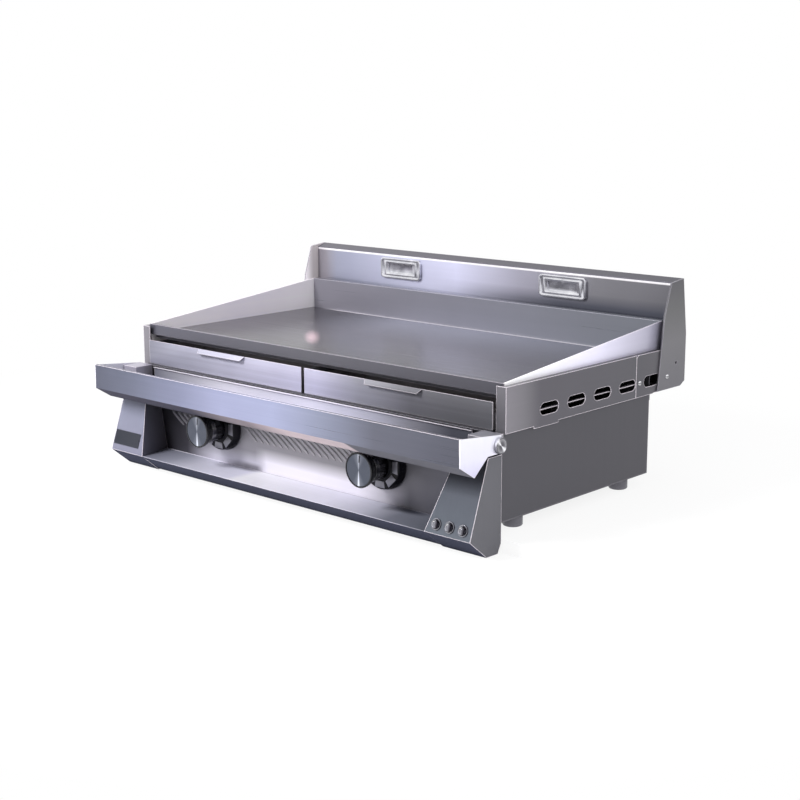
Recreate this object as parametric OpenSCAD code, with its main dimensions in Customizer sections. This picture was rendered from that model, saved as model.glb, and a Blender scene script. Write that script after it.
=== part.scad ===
// Bench-top gas griddle station: folded stainless casing with a recessed steel plate,
// two grease drawers, a front rail trough, a louvred control fascia and a splashback.
// X runs along the width, +Y points to the back, +Z up. The origin is the centre of the
// bounding box at the level of the fascia's underside, which hangs in front of the bench.

/* [Casing] */
// Width of the upper casing
case_w = 914; // [820:2:1200]
// Height of the casing side walls
case_h = 76; // [72:1:100]
// Thickness of the folded sheet
sheet = 1.5; // [1:0.1:2]
// Width of the front posts
post_w = 20; // [12:1:30]
// Length of a side vent slot
slot_len = 50; // [20:1:60]
// Height of a side vent slot
slot_h = 20; // [10:1:26]

/* [Body] */
// Height of the lower body
body_h = 147.5; // [140:0.5:220]
// How far the body sides stand in from the casing sides
body_in = 7.3; // [5:0.1:20]
// How far the control panel stands in front of the casing
panel_out = 10; // [6:0.5:12]
// Height of the feet
foot_h = 23; // [12:1:40]
// Radius of the feet
foot_r = 17; // [12:0.5:24]

/* [Fascia] */
// How far the fascia hangs below the body
fascia_drop = 45.5; // [36:0.5:60]
// Reach of the fascia in front of the casing
fascia_reach = 88; // [70:1:100]
// Height of the cheek boxes
cheek_h = 162.4; // [150:0.2:170]
// Distance from the inner igniter button to the cheek's inner wall
cheek_side = 22.1; // [19:0.1:40]
// Height of the shelf between the cheeks above the fascia's underside
shelf_h = 34.1; // [20:0.1:42]

/* [Rail] */
// Reach of the rail trough in front of the casing
rail_reach = 117; // [105:1:140]
// Height of the rail's front face
rail_face_h = 46; // [36:1:56]
// How far the rail ends stand out from the casing
rail_out = 5; // [4:0.5:10]
// Radius of the rail's hand screw heads
hand_head_r = 13.5; // [9:0.5:16]
// Length of the rail's hand screw heads
hand_head_h = 5; // [3:0.1:20]

/* [Griddle] */
// Depth of the griddle plate, front to back
plate_d = 395; // [350:5:600]
// Thickness of the griddle plate
plate_t = 12; // [6:0.5:16]
// How far the plate lies below the front lip
plate_recess = 17; // [14:0.5:30]
// Width of the grease gutter in front of the plate
gutter_w = 54; // [40:1:80]
// Height of the front lip band
lip_h = 20; // [14:0.5:24]
// Thickness of the side guards and the upstand
guard_t = 3; // [2:0.5:5]
// How far the guards rise towards the back
guard_rise = 45.7; // [10:0.5:80]

/* [Drawers] */
// Height of the drawer fronts
drawer_h = 46; // [40:0.5:48]
// Depth of the drawer trays
drawer_d = 111; // [80:1:130]
// Height of the drawer tray walls
drawer_wall = 33; // [15:1:36]
// Width of a handle lip at its root
handle_w = 131; // [80:1:200]

/* [Splashback] */
// Width of the flue slot behind the plate
flue_w = 25; // [18:1:50]
// Depth of the splashback box
splash_d = 34; // [28:1:60]
// Height of the splashback above the casing
splash_h = 122.5; // [80:0.5:240]
// Length of a flush pull
pull_w = 110; // [80:1:160]
// Height of a flush pull
pull_h = 42; // [30:1:60]

/* [Controls] */
// Distance between the two knobs
knob_gap = 416; // [300:2:480]
// Height of the knobs above the shelf
knob_up = 71.9; // [60:0.1:80]
// Radius of a knob's head
knob_r = 30.5; // [25:0.5:33]
// Length of a knob in front of the panel
knob_len = 69; // [60:1:72]
// Radius of a dial bezel
bezel_r = 46; // [40:0.5:52]
// Travel of a pushed knob
knob_travel = 5; // [2:0.5:5]
// Radius of an igniter button
button_r = 7.2; // [5:0.1:8]
// Distance between the igniter buttons
button_pitch = 27.7; // [24:0.1:30]
// Distance between two louvres
louvre_pitch = 17; // [12:0.5:30]

/* [Gas] */
// Outer radius of the gas pipe
pipe_r = 10.65; // [8:0.05:14]
// Length of the inlet pipe behind the body
inlet_len = 25; // [15:1:40]
// Radius of the cross burner tubes
burner_r = 14; // [8:0.5:17]

/* [Hidden] */
$fn = 64;

// Overrun of every cut
over = 1;
// Running gap between parts that slide flat on each other
slide_gap = 0.3;
// Radial clearance of a shaft in its bore
fit_gap = 0.05;

// Levels, upwards from the fascia's underside
body_z = fascia_drop;
pan_top = body_z + sheet;
case_z = body_z + body_h;
case_top = case_z + case_h;
lip_rise = 3.5;
lip_top = case_top + lip_rise;
lip_low = lip_top - lip_h;
plate_top = lip_top - plate_recess;
plate_low = plate_top - plate_t;
guard_skirt = 7.5;
guard_low = plate_low - guard_skirt;
gutter_deep = 10;
gutter_floor = plate_top - gutter_deep;
shelf_lift = 2.2;
drawer_shelf_z = case_z + shelf_lift;
drawer_z = drawer_shelf_z + sheet + slide_gap;
drawer_top = drawer_z + drawer_h;
guard_back_z = lip_top + guard_rise;
splash_top = case_top + splash_h;

// Places from front to back
panel_y = -panel_out;
lip_setback = 8;
plate_y = lip_setback + gutter_w;
plate_back = plate_y + plate_d;
tray_back = plate_back + guard_t;
flue_step = 40;
body_back = tray_back - flue_step;
splash_y = tray_back + flue_w;
back_y = splash_y + splash_d;
seam_back = 94;
seam_y = tray_back - seam_back;
mid_y = (back_y - rail_reach) / 2;

// Places across the width
case_x = case_w / 2;
body_x = case_x - body_in;
tray_in = 11;
tray_x = case_x - tray_in;
guard_x = tray_x - guard_t;
cheek_out = 1;
cheek_x1 = case_x + cheek_out;
button_in = 18;
cheek_w = button_in + 2 * button_pitch + cheek_side;
cheek_x0 = cheek_x1 - cheek_w;
rail_x = case_x + rail_out;
cap_t = 2;
trough_x = rail_x - cap_t;
drawer_gap = 8;
drawer_side_gap = 3;
drawer_x0 = drawer_gap / 2;
drawer_x1 = case_x - post_w - drawer_side_gap;
drawer_mid = (drawer_x0 + drawer_x1) / 2;
knob_x = knob_gap / 2;
knob_z = shelf_h + knob_up;

// Lower body
body_up = 8;
body_flange = 15;
flue_hole_side = 45;
flue_hole_low = 39;
pipe_hole_gap = 1.5;

// Feet
foot_in = 27.7;
foot_front = 65;
foot_rear = 50;
foot_chamfer = 2.5;

// Fascia section
belly_y = 46.3;
belly_back = 18.2;
cheek_lap = 16.6;
wall_back = 14;
wall_up = 10;
cut_size = 600;
cheek_top_y = 44;
shelf_rise = 2;
panel_lap = 14;
face_run = fascia_reach - cheek_top_y;
face_rise = cheek_h - shelf_h;
face_lean = atan(face_run / face_rise);
label_w = 76;
label_h = 28;
label_t = 0.8;
label_up = 12.4;
label_in = 2.5;

// Louvres
louvre_len = 38;
louvre_w = 5;
louvre_angle = 34;
louvre_low = 66.4;
louvre_edge = 4;
louvre_left = 17.5;
louvre_left_count = 4;

// Drawers and their guides
shelf_deep = 125;
divider_t = 3;
guide_start = 2;
guide_stop = 6;
guide_h = 28;
divider_h = 42;
tray_gap = 3;
tray_t = 1.2;
front_out = 4.7;
front_t = 1.5;
handle_out = 8;
handle_drop = 8.5;
handle_taper = 13;

// Casing sides
seam_gap = 0.3;
seam_cut = 5;
slot_first = 89;
slot_end = 2;
slot_low = 15;
slot_rear = 24;
slot_count = 4;
rib_w = 7;
rib_low = 23.5;
rib_front = 10;
bracket_in = 34.3;
tab_front = 73;
tab_len = 66;
tab_h = 4;

// Front lip and gutter
lip_hem = 5;
gutter_wall = 20;
drop_in = 60;
drop_out = 380 / 457 * case_x;
drop_front = 10;
drop_w = 20;

// Upstand
upstand_flange = 12;

// Splashback
end_t = 3;
end_foot = 30;
end_foot_up = 2;
end_knee_front = 38;
end_knee_up = 59;
end_head = 19;
end_head_drop = 4.5;
cover_lean = 14;
cover_knee = 101.5;
cover_toe = 8;
band_drop = 7;
screw_y = seam_y + 10.9;
screw_z = case_z + 25.3 / 76 * case_h;
end_screw_y = tray_back;
end_hole_in = 30.2;
end_hole_up = 47.2;
end_hole_r = 3;
screw_r = 2.5;
screw_head_r = 4.6;
screw_head_h = 2.2;
screw_len = 5;

// Flush pulls
pull_t = 6;
pull_round = 7;
pull_in_w = 68;
pull_in_h = 18;
pull_in_round = 5;
pull_deep = 4.5;
pull_drop = 36;

// Rail trough, caps, blocks and hand screws
rail_up = 2;
rail_v_y = 82.5;
rail_v_drop = 21.6;
rail_step_y = 50;
rail_step_up = 6.5;
rail_back_y = 17;
rail_back_h = 28;
rail_cap_h = 29.3;
rail_hem = 6;
rail_back_hem = 4;
notch_x = 403 / 457 * case_x;
notch_r = 12;
notch_up = 2;
block_w = 39;
block_low = 5;
block_h = 24.3;
hand_y = 22;
screw_up = 13.1;
hand_r = 5;
hand_len = 30;
hand_chamfer = 1.5;

rail_z0 = cheek_h - rail_up;
rail_z1 = rail_z0 + rail_face_h;
rail_vz = rail_z0 - rail_v_drop;
rail_floor = rail_z0 + rail_step_up;

// Burners and gas parts
shield_front = 130;
shield_back = 8;
shield_h = 108.5;
shield_in = 8;
burner_main_r = 19;
burner_wall = 1.5;
burner_front = 140;
burner_back = 25;
burner_reach = 148;
burner_slit = 2;
venturi_r = 14;
venturi_front = 70;
bell_r = 18;
bell_len = 15;
cross_first = 30;
cross_count = 3;
shield_z = pan_top + shield_h;
burner_z = shield_z + sheet + burner_main_r;
burner_y1 = body_back - burner_back;
cross_step = (burner_y1 - burner_front - 2 * cross_first) / (cross_count - 1);
valve_w = 36;
valve_d = 52;
valve_hz = 40;
valve_bore_d = 33.5;
plunger_r = 9;
plunger_start = 13.5;
plunger_len = 10;
spindle_r = 4;
spindle_in = 26.5;
riser_r = 5;
riser_y = 40;
jet_r = 4;
jet_block = 16;
pipe_wall = 2.65;
pipe_end = 60;
locknut_r = 14;
locknut_t = 4;
inlet_x = 400 / 457 * case_x;
pipe_y = panel_y + sheet + valve_d + pipe_r;
pilot_x = 45;
pilot_y = 150;
pilot_r = 5;
pilot_h = 44;
hood_r = 7;
hood_h = 6;
spark_x = 14;
spark_r = 2.5;
spark_h = 50;
probe_r = 2.2;
probe_h = 52;

// Knobs and bezels
head_t = 9;
head_recess = 1.2;
insert_t = 0.9;
insert_r = 28.5;
insert_gap = 0.2;
neck_r = 22;
neck_clear = 14;
band_r = 23;
band_in = 9;
band_w = 10;
flute_r = 4;
flute_in = 24.5;
flute_count = 12;
flute_len = 16;
bezel_rim = 6;
bezel_cone = 13;
bezel_cone_r = 30;
collar_r = 25.5;
collar_len = 20;
collar_bore_r = 23;
collar_floor = 7.5;
panel_hole_r = 6;

// Igniters, along the slope of the right cheek
button_up = 16;
ring_r = 10;
ring_t = 2;
ring_bore_r = 7.5;
ring_bore_d = 3;
igniter_r = 8;
igniter_len = 40;
stem_bore_r = 5.7;
stem_bore_d = 32;
stem_r = 5.4;
stem_len = 22;
cap_low = 1.8;
cap_side = 1.5;
cap_dome = 4;

// Colours
steel = [0.66, 0.67, 0.70];
bright = [0.80, 0.80, 0.84];
dark_steel = [0.42, 0.42, 0.45];
plate_grey = [0.50, 0.50, 0.53];
black = [0.06, 0.06, 0.07];
brass = [0.72, 0.58, 0.30];
iron = [0.25, 0.25, 0.27];

// Direction and left-hand normal of a run, and the mitred corner at distance t
function unit(v) = v / norm(v);
function left(v) = [-v[1], v[0]] / norm(v);
function corner(a, b, c, t) = let (m = left(b - a), n = left(c - b)) b + t * (m + n) / (1 + m * n);

// Closed outline moved inwards by t
function inset(p, t) = let (n = len(p))
    [for (i = [0:n - 1]) corner(p[(i + n - 1) % n], p[i], p[(i + 1) % n], t)];

// One side of a folded sheet that follows an open path
function beside(p, t) = let (n = len(p) - 1)
    [for (i = [0:n]) i == 0 ? p[0] + t * left(p[1] - p[0])
        : i == n ? p[n] + t * left(p[n] - p[n - 1])
        : corner(p[i - 1], p[i], p[i + 1], t)];
function reversed(p) = [for (i = [len(p) - 1:-1:0]) p[i]];

// The whole station is drawn from the casing's front plane and moved to the origin
module placed() {
    translate([0, -mid_y, 0])
        children();
}

// A flat shape drawn in Y and Z, extruded along X
module along_x(x0, x1) {
    translate([x0, 0, 0])
        rotate([90, 0, 90])
            linear_extrude(x1 - x0)
                children();
}

// A flat shape drawn in X and Z, extruded along Y
module along_y(y0, y1) {
    translate([0, y1, 0])
        rotate([90, 0, 0])
            linear_extrude(y1 - y0)
                children();
}

// A flat shape drawn in X and Y, extruded upwards
module along_z(z0, z1) {
    translate([0, 0, z0])
        linear_extrude(z1 - z0)
            children();
}

// A block between two corners
module block(lo, hi) {
    translate(lo)
        cube(hi - lo);
}

// A rod along Y with one radius at each end
module rod_y(x, z, y0, y1, r0, r1) {
    translate([x, y0, z])
        rotate([-90, 0, 0])
            cylinder(h = y1 - y0, r1 = r0, r2 = r1);
}

// A rod along X
module rod_x(y, z, x0, x1, r) {
    translate([x0, y, z])
        rotate([0, 90, 0])
            cylinder(h = x1 - x0, r = r);
}

// An upright rod
module rod_z(x, y, z0, z1, r) {
    translate([x, y, z0])
        cylinder(h = z1 - z0, r = r);
}

// Section of a folded sheet
module folded(path, t) {
    polygon(concat(path, reversed(beside(path, t))));
}

// Slot with round ends, centred
module slot(length, height) {
    square([length - height, height], center = true);
    for (s = [-1, 1])
        translate([s * (length - height) / 2, 0])
            circle(d = height);
}

// Rectangle with round corners, centred
module round_rect(w, h, r) {
    square([w - 2 * r, h], center = true);
    square([w, h - 2 * r], center = true);
    for (sx = [-1, 1], sy = [-1, 1])
        translate([sx * (w / 2 - r), sy * (h / 2 - r)])
            circle(r);
}

// The same shape on the left or on the right
module on_side(s) {
    if (s < 0)
        mirror([1, 0, 0])
            children();
    else
        children();
}

// Lower body

module body_side(s) {
    front = panel_y + sheet;
    back = body_back - sheet;
    path = [[body_x - body_flange, front], [body_x, front], [body_x, back],
        [body_x - body_flange, back]];
    color(dark_steel) placed() on_side(s)
        difference() {
            along_z(pan_top, case_z + body_up)
                folded(path, sheet);
            block([body_x - body_flange - over, front - over, case_z],
                [body_x + over, sheet + seam_gap, case_z + body_up + over]);
        }
}

module body_side_left() {
    body_side(-1);
}

module body_side_right() {
    body_side(1);
}

module base_pan() {
    color(dark_steel) placed()
        block([-body_x, panel_y + sheet, body_z], [body_x, body_back, pan_top]);
}

module back_panel() {
    color(dark_steel) placed()
        difference() {
            block([-body_x, body_back - sheet, pan_top], [body_x, body_back, guard_low]);
            block([flue_hole_side - body_x, body_back - sheet - over, guard_low - flue_hole_low],
                [body_x - flue_hole_side, body_back + over, guard_low - sheet]);
            rod_y(-inlet_x, knob_z, body_back - sheet - over, body_back + over,
                pipe_r + pipe_hole_gap, pipe_r + pipe_hole_gap);
        }
}

// Slots leaning in one row, from one place to another
module louvre_row(x0, count) {
    for (i = [0:count - 1])
        translate([x0 + i * louvre_pitch, louvre_low])
            rotate(-louvre_angle)
                slot(louvre_len, louvre_w);
}

module control_panel() {
    span = knob_x - bezel_r - louvre_edge - louvre_len / 2;
    count = floor(2 * span / louvre_pitch) + 1;
    color(steel) placed()
        difference() {
            block([-body_x, panel_y, shelf_h - panel_lap], [body_x, panel_y + sheet, drawer_shelf_z]);
            for (s = [-1, 1])
                rod_y(s * knob_x, knob_z, panel_y - over, panel_y + sheet + over,
                    panel_hole_r, panel_hole_r);
            translate([0, 0, shelf_h])
                along_y(panel_y - over, panel_y + sheet + over) {
                    louvre_row(-(count - 1) * louvre_pitch / 2, count);
                    louvre_row(-cheek_x0 + louvre_left, louvre_left_count);
                }
        }
}

// Fascia

function shelf_section() = [[-fascia_reach, shelf_h], [-belly_y, shelf_rise],
    [-belly_back, shelf_rise], [panel_y, cheek_lap + shelf_rise], [panel_y, shelf_h]];

function cheek_section() = [[-fascia_reach, shelf_h], [-belly_y, 0], [-belly_back, 0],
    [panel_y, cheek_lap], [panel_y, cheek_h], [-cheek_top_y, cheek_h]];

// A block that ends at the cheek's inner wall, which leans outwards to the back and to the top
module to_wall(start, end) {
    translate([cheek_x0, -fascia_reach, shelf_h])
        rotate([0, wall_up, -wall_back])
            block([start, -cut_size / 2, -cut_size / 2], [end, cut_size / 2, cut_size / 2]);
}

module fascia_shelf() {
    color(steel) placed()
        difference() {
            along_x(-cheek_x1, cheek_x1)
                difference() {
                    polygon(shelf_section());
                    polygon(inset(shelf_section(), sheet));
                }
            for (s = [-1, 1])
                on_side(s)
                    to_wall(0, cut_size);
        }
}

module cheek(s) {
    on_side(s)
        difference() {
            along_x(cheek_x0, cheek_x1)
                polygon(cheek_section());
            difference() {
                along_x(cheek_x0 + sheet, cheek_x1 - sheet)
                    polygon(inset(cheek_section(), sheet));
                to_wall(-cut_size, sheet);
            }
            to_wall(-cut_size, 0);
        }
}

// Puts a shape on the sloping cheek face, with its Z axis along the face's outward normal
module on_face(x, up) {
    translate([x, -fascia_reach + up * sin(face_lean), shelf_h + up * cos(face_lean)])
        rotate([90 - face_lean, 0, 0])
            children();
}

module cheek_left() {
    color(steel) placed()
        cheek(-1);
}

module cheek_right() {
    color(steel) placed()
        difference() {
            cheek(1);
            for (i = [0:2])
                on_face(button_x(i), button_up)
                    translate([0, 0, -igniter_r])
                        cylinder(h = 2 * igniter_r, r = igniter_r);
        }
}

module data_plate() {
    color(dark_steel) placed()
        on_face(-cheek_x1 + label_in, label_up)
            cube([label_w, label_h, label_t]);
}

// Drawers

module drawer_shelf() {
    color(dark_steel) placed()
        block([-drawer_x1, panel_y, drawer_shelf_z], [drawer_x1, shelf_deep, drawer_shelf_z + sheet]);
}

module drawer_guides() {
    base = drawer_shelf_z + sheet;
    end = shelf_deep - guide_stop;
    color(dark_steel) placed() {
        block([-divider_t / 2, guide_start, base], [divider_t / 2, end, base + divider_h]);
        for (s = [-1, 1])
            on_side(s)
                block([drawer_x1 - sheet, guide_start, base], [drawer_x1, end, base + guide_h]);
    }
}

module drawer_tray(s) {
    lo = [drawer_x0 + tray_gap, front_t - front_out, drawer_z];
    hi = [drawer_x1 - tray_gap, front_t - front_out + drawer_d, drawer_z + drawer_wall];
    color(bright) placed() on_side(s)
        difference() {
            block(lo, hi);
            block(lo + [tray_t, tray_t, tray_t], hi + [-tray_t, -tray_t, over]);
        }
}

module drawer_tray_left() {
    drawer_tray(-1);
}

module drawer_tray_right() {
    drawer_tray(1);
}

module drawer_front(s) {
    root = handle_w / 2;
    tip = root - handle_taper;
    path = [[front_t - front_out, drawer_top - front_t], [-front_out, drawer_top - front_t],
        [-front_out - handle_out, drawer_top - handle_drop]];
    color(bright) placed() on_side(s) {
        block([drawer_x0, -front_out, drawer_z], [drawer_x1, front_t - front_out, drawer_top]);
        intersection() {
            along_x(drawer_mid - root, drawer_mid + root)
                folded(path, -front_t);
            translate([drawer_mid, 0, drawer_top])
                along_y(-front_out - 2 * handle_out, front_t)
                    polygon([[-root, 0], [-tip, -2 * handle_drop], [tip, -2 * handle_drop], [root, 0]]);
        }
    }
}

module drawer_front_left() {
    drawer_front(-1);
}

module drawer_front_right() {
    drawer_front(1);
}

// Upper casing

module case_side(s) {
    pitch = (seam_y - slot_first - slot_len - slot_end) / (slot_count - 1);
    color(steel) placed() on_side(s)
        difference() {
            union() {
                block([case_x - sheet, 0, case_z], [case_x, seam_y - seam_gap, case_top]);
                block([tray_x, 0, case_top - sheet], [case_x, seam_y - seam_gap, case_top]);
                block([body_x, 0, case_z], [case_x, seam_y - seam_gap, case_z + sheet]);
                block([case_x - post_w, 0, case_z], [case_x, sheet, case_top]);
                block([case_x - sheet - rib_w, rib_front, case_z + rib_low],
                    [case_x - sheet, seam_y - seam_gap, case_z + rib_low + sheet]);
                block([case_x - sheet, tab_front, case_z - tab_h], [case_x, tab_front + tab_len, case_z]);
            }
            for (i = [0:slot_count - 1])
                translate([0, slot_first + slot_len / 2 + i * pitch, case_z + slot_low + slot_h / 2])
                    along_x(case_x - sheet - over / 2, case_x + over)
                        slot(slot_len, slot_h);
        }
}

module case_side_left() {
    case_side(-1);
}

module case_side_right() {
    case_side(1);
}

module rear_bracket(s) {
    end = back_y - bracket_in;
    section = [[seam_y, case_z], [end, case_z + end_foot_up], [end, case_top],
        [seam_y + seam_cut, case_top], [seam_y, case_top - seam_cut]];
    color(steel) placed() on_side(s)
        difference() {
            union() {
                along_x(case_x - sheet, case_x)
                    polygon(section);
                block([tray_x, seam_y + seam_cut, case_top - sheet], [case_x, tray_back, case_top]);
                block([body_x, seam_y, case_z], [case_x, body_back, case_z + sheet]);
            }
            translate([0, seam_y + slot_rear + slot_len / 2, case_z + slot_low + slot_h / 2])
                along_x(case_x - sheet - over / 2, case_x + over)
                    slot(slot_len, slot_h);
            rod_x(screw_y, screw_z, case_x - sheet - over, case_x + over, screw_r);
            rod_x(end_screw_y, screw_z, case_x - sheet - over, case_x + over, screw_r);
        }
}

module rear_bracket_left() {
    rear_bracket(-1);
}

module rear_bracket_right() {
    rear_bracket(1);
}

// Griddle

module griddle_plate() {
    color(plate_grey) placed()
        block([-guard_x, plate_y, plate_low], [guard_x, plate_back, plate_top]);
}

module guard(s) {
    start = lip_setback + sheet;
    section = [[start, guard_low], [tray_back, guard_low], [tray_back, guard_back_z],
        [start, lip_top]];
    color(bright) placed() on_side(s)
        along_x(guard_x, tray_x)
            polygon(section);
}

module guard_left() {
    guard(-1);
}

module guard_right() {
    guard(1);
}

module upstand() {
    color(steel) placed() {
        block([-guard_x, plate_back, guard_low], [guard_x, tray_back, guard_back_z]);
        block([-guard_x, tray_back, guard_back_z - sheet],
            [guard_x, tray_back + upstand_flange, guard_back_z]);
    }
}

module front_lip() {
    under = gutter_floor - sheet;
    path = [[lip_setback + lip_hem, lip_top], [lip_setback, lip_top], [lip_setback, lip_low],
        [gutter_wall, lip_low], [gutter_wall, under], [plate_y, under]];
    color(steel) placed()
        difference() {
            union() {
                along_x(-guard_x, guard_x)
                    folded(path, sheet);
                block([-tray_x, lip_setback, lip_low], [tray_x, lip_setback + sheet, lip_top]);
            }
            for (s = [-1, 1])
                on_side(s)
                    block([drop_in, gutter_wall + drop_front, under - over],
                        [drop_out, gutter_wall + drop_front + drop_w, gutter_floor + over]);
        }
}

// Splashback

module splash_end(s) {
    section = [[tray_back - end_foot, case_z + end_foot_up],
        [back_y - cover_lean, case_z + end_foot_up], [back_y, case_z + end_foot_up + cover_toe],
        [back_y, splash_top - cover_knee], [back_y - cover_lean, splash_top],
        [splash_y - end_head, splash_top - end_head_drop],
        [splash_y - end_knee_front, case_top + end_knee_up]];
    color(steel) placed() on_side(s)
        difference() {
            along_x(case_x, case_x + end_t)
                polygon(section);
            rod_x(end_screw_y, screw_z, case_x - over, case_x + end_t + over, screw_r);
            rod_x(back_y - end_hole_in, case_z + end_hole_up, case_x - over, case_x + end_t + over,
                end_hole_r);
        }
}

module splash_end_left() {
    splash_end(-1);
}

module splash_end_right() {
    splash_end(1);
}

module splash_panel() {
    color(steel) placed()
        block([-case_x, splash_y, case_z + end_foot_up + sheet],
            [case_x, splash_y + sheet, splash_top - band_drop - sheet]);
}

module rear_cover() {
    foot = case_z + end_foot_up;
    path = [[splash_y, splash_top - band_drop], [back_y - cover_lean, splash_top],
        [back_y, splash_top - cover_knee], [back_y, foot + cover_toe],
        [back_y - cover_lean, foot], [splash_y + sheet, foot]];
    color(dark_steel) placed()
        along_x(-case_x, case_x)
            folded(path, -sheet);
}

module flue_duct() {
    floor_z = case_z + end_foot_up;
    inner = case_x - sheet;
    color(dark_steel) placed() {
        block([-inner, body_back, floor_z], [inner, splash_y + sheet, floor_z + sheet]);
        block([-body_x, body_back, floor_z - body_flange], [body_x, body_back + sheet, floor_z]);
    }
}

module flush_pulls() {
    color(bright) placed()
        for (s = [-1, 1])
            translate([s * knob_x, 0, splash_top - pull_drop])
                difference() {
                    along_y(splash_y - pull_t, splash_y)
                        round_rect(pull_w, pull_h, pull_round);
                    along_y(splash_y - pull_t - over, splash_y - pull_t + pull_deep)
                        round_rect(pull_in_w, pull_in_h, pull_in_round);
                }
}

// Rail

module rail_trough() {
    path = [[-rail_reach + rail_hem, rail_z1], [-rail_reach, rail_z1], [-rail_reach, rail_z0],
        [-rail_v_y, rail_vz], [-rail_step_y, rail_floor], [-rail_back_y, rail_floor],
        [-rail_back_y, rail_floor + rail_back_h],
        [-rail_back_y - rail_back_hem, rail_floor + rail_back_h]];
    color(steel) placed()
        difference() {
            along_x(-trough_x, trough_x)
                folded(path, sheet);
            for (s = [-1, 1])
                on_side(s)
                    along_y(-rail_back_y - 2 * rail_back_hem, -rail_back_y + over)
                        translate([notch_x, rail_floor + notch_up]) {
                            translate([notch_r, 0])
                                square([rail_x - notch_x, rail_cap_h]);
                            translate([0, notch_r])
                                square([rail_x - notch_x, rail_cap_h]);
                            translate([notch_r, notch_r])
                                circle(notch_r);
                        }
        }
}

module rail_caps() {
    section = [[-rail_reach, rail_z0], [-rail_v_y, rail_vz], [-rail_step_y, rail_floor],
        [-rail_back_y, rail_floor], [-rail_back_y, rail_floor + rail_cap_h],
        [-rail_reach, rail_z1]];
    color(bright) placed()
        for (s = [-1, 1])
            on_side(s)
                difference() {
                    along_x(trough_x, rail_x)
                        polygon(section);
                    rod_x(-hand_y, rail_floor + screw_up, trough_x - over, rail_x + over,
                        hand_r + fit_gap);
                }
}

module rail_blocks() {
    low = rail_floor + block_low;
    color(steel) placed()
        for (s = [-1, 1])
            on_side(s)
                difference() {
                    block([trough_x - block_w, -rail_step_y, low],
                        [trough_x, panel_y, low + block_h]);
                    rod_x(-hand_y, rail_floor + screw_up, trough_x - hand_len - over,
                        trough_x + over, hand_r + fit_gap);
                }
}

module rail_screw(s) {
    z = rail_floor + screw_up;
    face = rail_x + slide_gap;
    head = face + hand_head_h;
    color(bright) placed() on_side(s) {
        rod_x(-hand_y, z, trough_x - hand_len, face + hand_chamfer, hand_r);
        rod_x(-hand_y, z, face, head - hand_chamfer, hand_head_r);
        translate([head - hand_chamfer, -hand_y, z])
            rotate([0, 90, 0])
                cylinder(h = hand_chamfer, r1 = hand_head_r, r2 = hand_head_r - hand_chamfer);
    }
}

module rail_screw_left() {
    rail_screw(-1);
}

module rail_screw_right() {
    rail_screw(1);
}

// Gas parts

module burner(s) {
    first = burner_front + cross_first;
    inner = burner_main_r - burner_wall;
    thin = venturi_r - burner_wall;
    color(iron) placed() translate([s * knob_x, 0, 0])
        difference() {
            union() {
                rod_y(0, burner_z, burner_front, burner_y1, burner_main_r, burner_main_r);
                rod_y(0, burner_z, venturi_front, burner_front + over, venturi_r, venturi_r);
                rod_y(0, burner_z, venturi_front, venturi_front + bell_len, bell_r, venturi_r);
                for (i = [0:cross_count - 1])
                    rod_x(first + i * cross_step, burner_z, -burner_reach, burner_reach, burner_r);
            }
            rod_y(0, burner_z, burner_front + burner_wall, burner_y1 - burner_wall, inner, inner);
            rod_y(0, burner_z, venturi_front - over, burner_front + 2 * burner_wall, thin, thin);
            for (i = [0:cross_count - 1]) {
                rod_x(first + i * cross_step, burner_z, burner_wall - burner_reach,
                    burner_reach - burner_wall, burner_r - burner_wall);
                for (side = [-1, 1])
                    on_side(side)
                        block([burner_main_r, first + i * cross_step - burner_slit / 2, burner_z],
                            [burner_reach - bell_len, first + i * cross_step + burner_slit / 2,
                            burner_z + burner_r + over]);
            }
        }
}

module burner_left() {
    burner(-1);
}

module burner_right() {
    burner(1);
}

module heat_shield() {
    x1 = body_x - shield_in;
    y1 = body_back - shield_back;
    top = shield_z + sheet;
    path = [[shield_front, pan_top], [shield_front, top], [y1, top], [y1, pan_top]];
    color(dark_steel) placed()
        difference() {
            along_x(-x1, x1)
                folded(path, -sheet);
            rod_y(-inlet_x, knob_z, shield_front - over, y1 + over,
                pipe_r + pipe_hole_gap, pipe_r + pipe_hole_gap);
        }
}

module valve(s) {
    front = panel_y + sheet;
    top = knob_z + valve_hz / 2;
    color(brass) placed() translate([s * knob_x, 0, 0])
        difference() {
            union() {
                block([-valve_w / 2, front, knob_z - valve_hz / 2],
                    [valve_w / 2, front + valve_d, top]);
                rod_z(0, riser_y, top, burner_z - jet_block / 2, riser_r);
            }
            rod_y(0, knob_z, front - over, front + valve_bore_d,
                plunger_r + fit_gap, plunger_r + fit_gap);
        }
}

module valve_left() {
    valve(-1);
}

module valve_right() {
    valve(1);
}

module injectors() {
    half = jet_block / 2;
    color(brass) placed()
        for (s = [-1, 1])
            translate([s * knob_x, 0, 0]) {
                block([-half, riser_y - half, burner_z - half], [half, riser_y + half, burner_z + half]);
                rod_y(0, burner_z, riser_y + half, venturi_front + jet_r, jet_r, jet_r / 2);
            }
}

module gas_manifold() {
    bore = pipe_r - pipe_wall;
    x0 = -inlet_x - pipe_r;
    x1 = knob_x + pipe_end;
    y1 = body_back + inlet_len;
    color(brass) placed()
        difference() {
            union() {
                rod_x(pipe_y, knob_z, x0, x1, pipe_r);
                rod_y(-inlet_x, knob_z, pipe_y, y1, pipe_r, pipe_r);
                rod_y(-inlet_x, knob_z, body_back, body_back + locknut_t, locknut_r, locknut_r);
            }
            rod_x(pipe_y, knob_z, -inlet_x, x1 - pipe_wall, bore);
            rod_y(-inlet_x, knob_z, pipe_y, y1 + over, bore, bore);
        }
}

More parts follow.
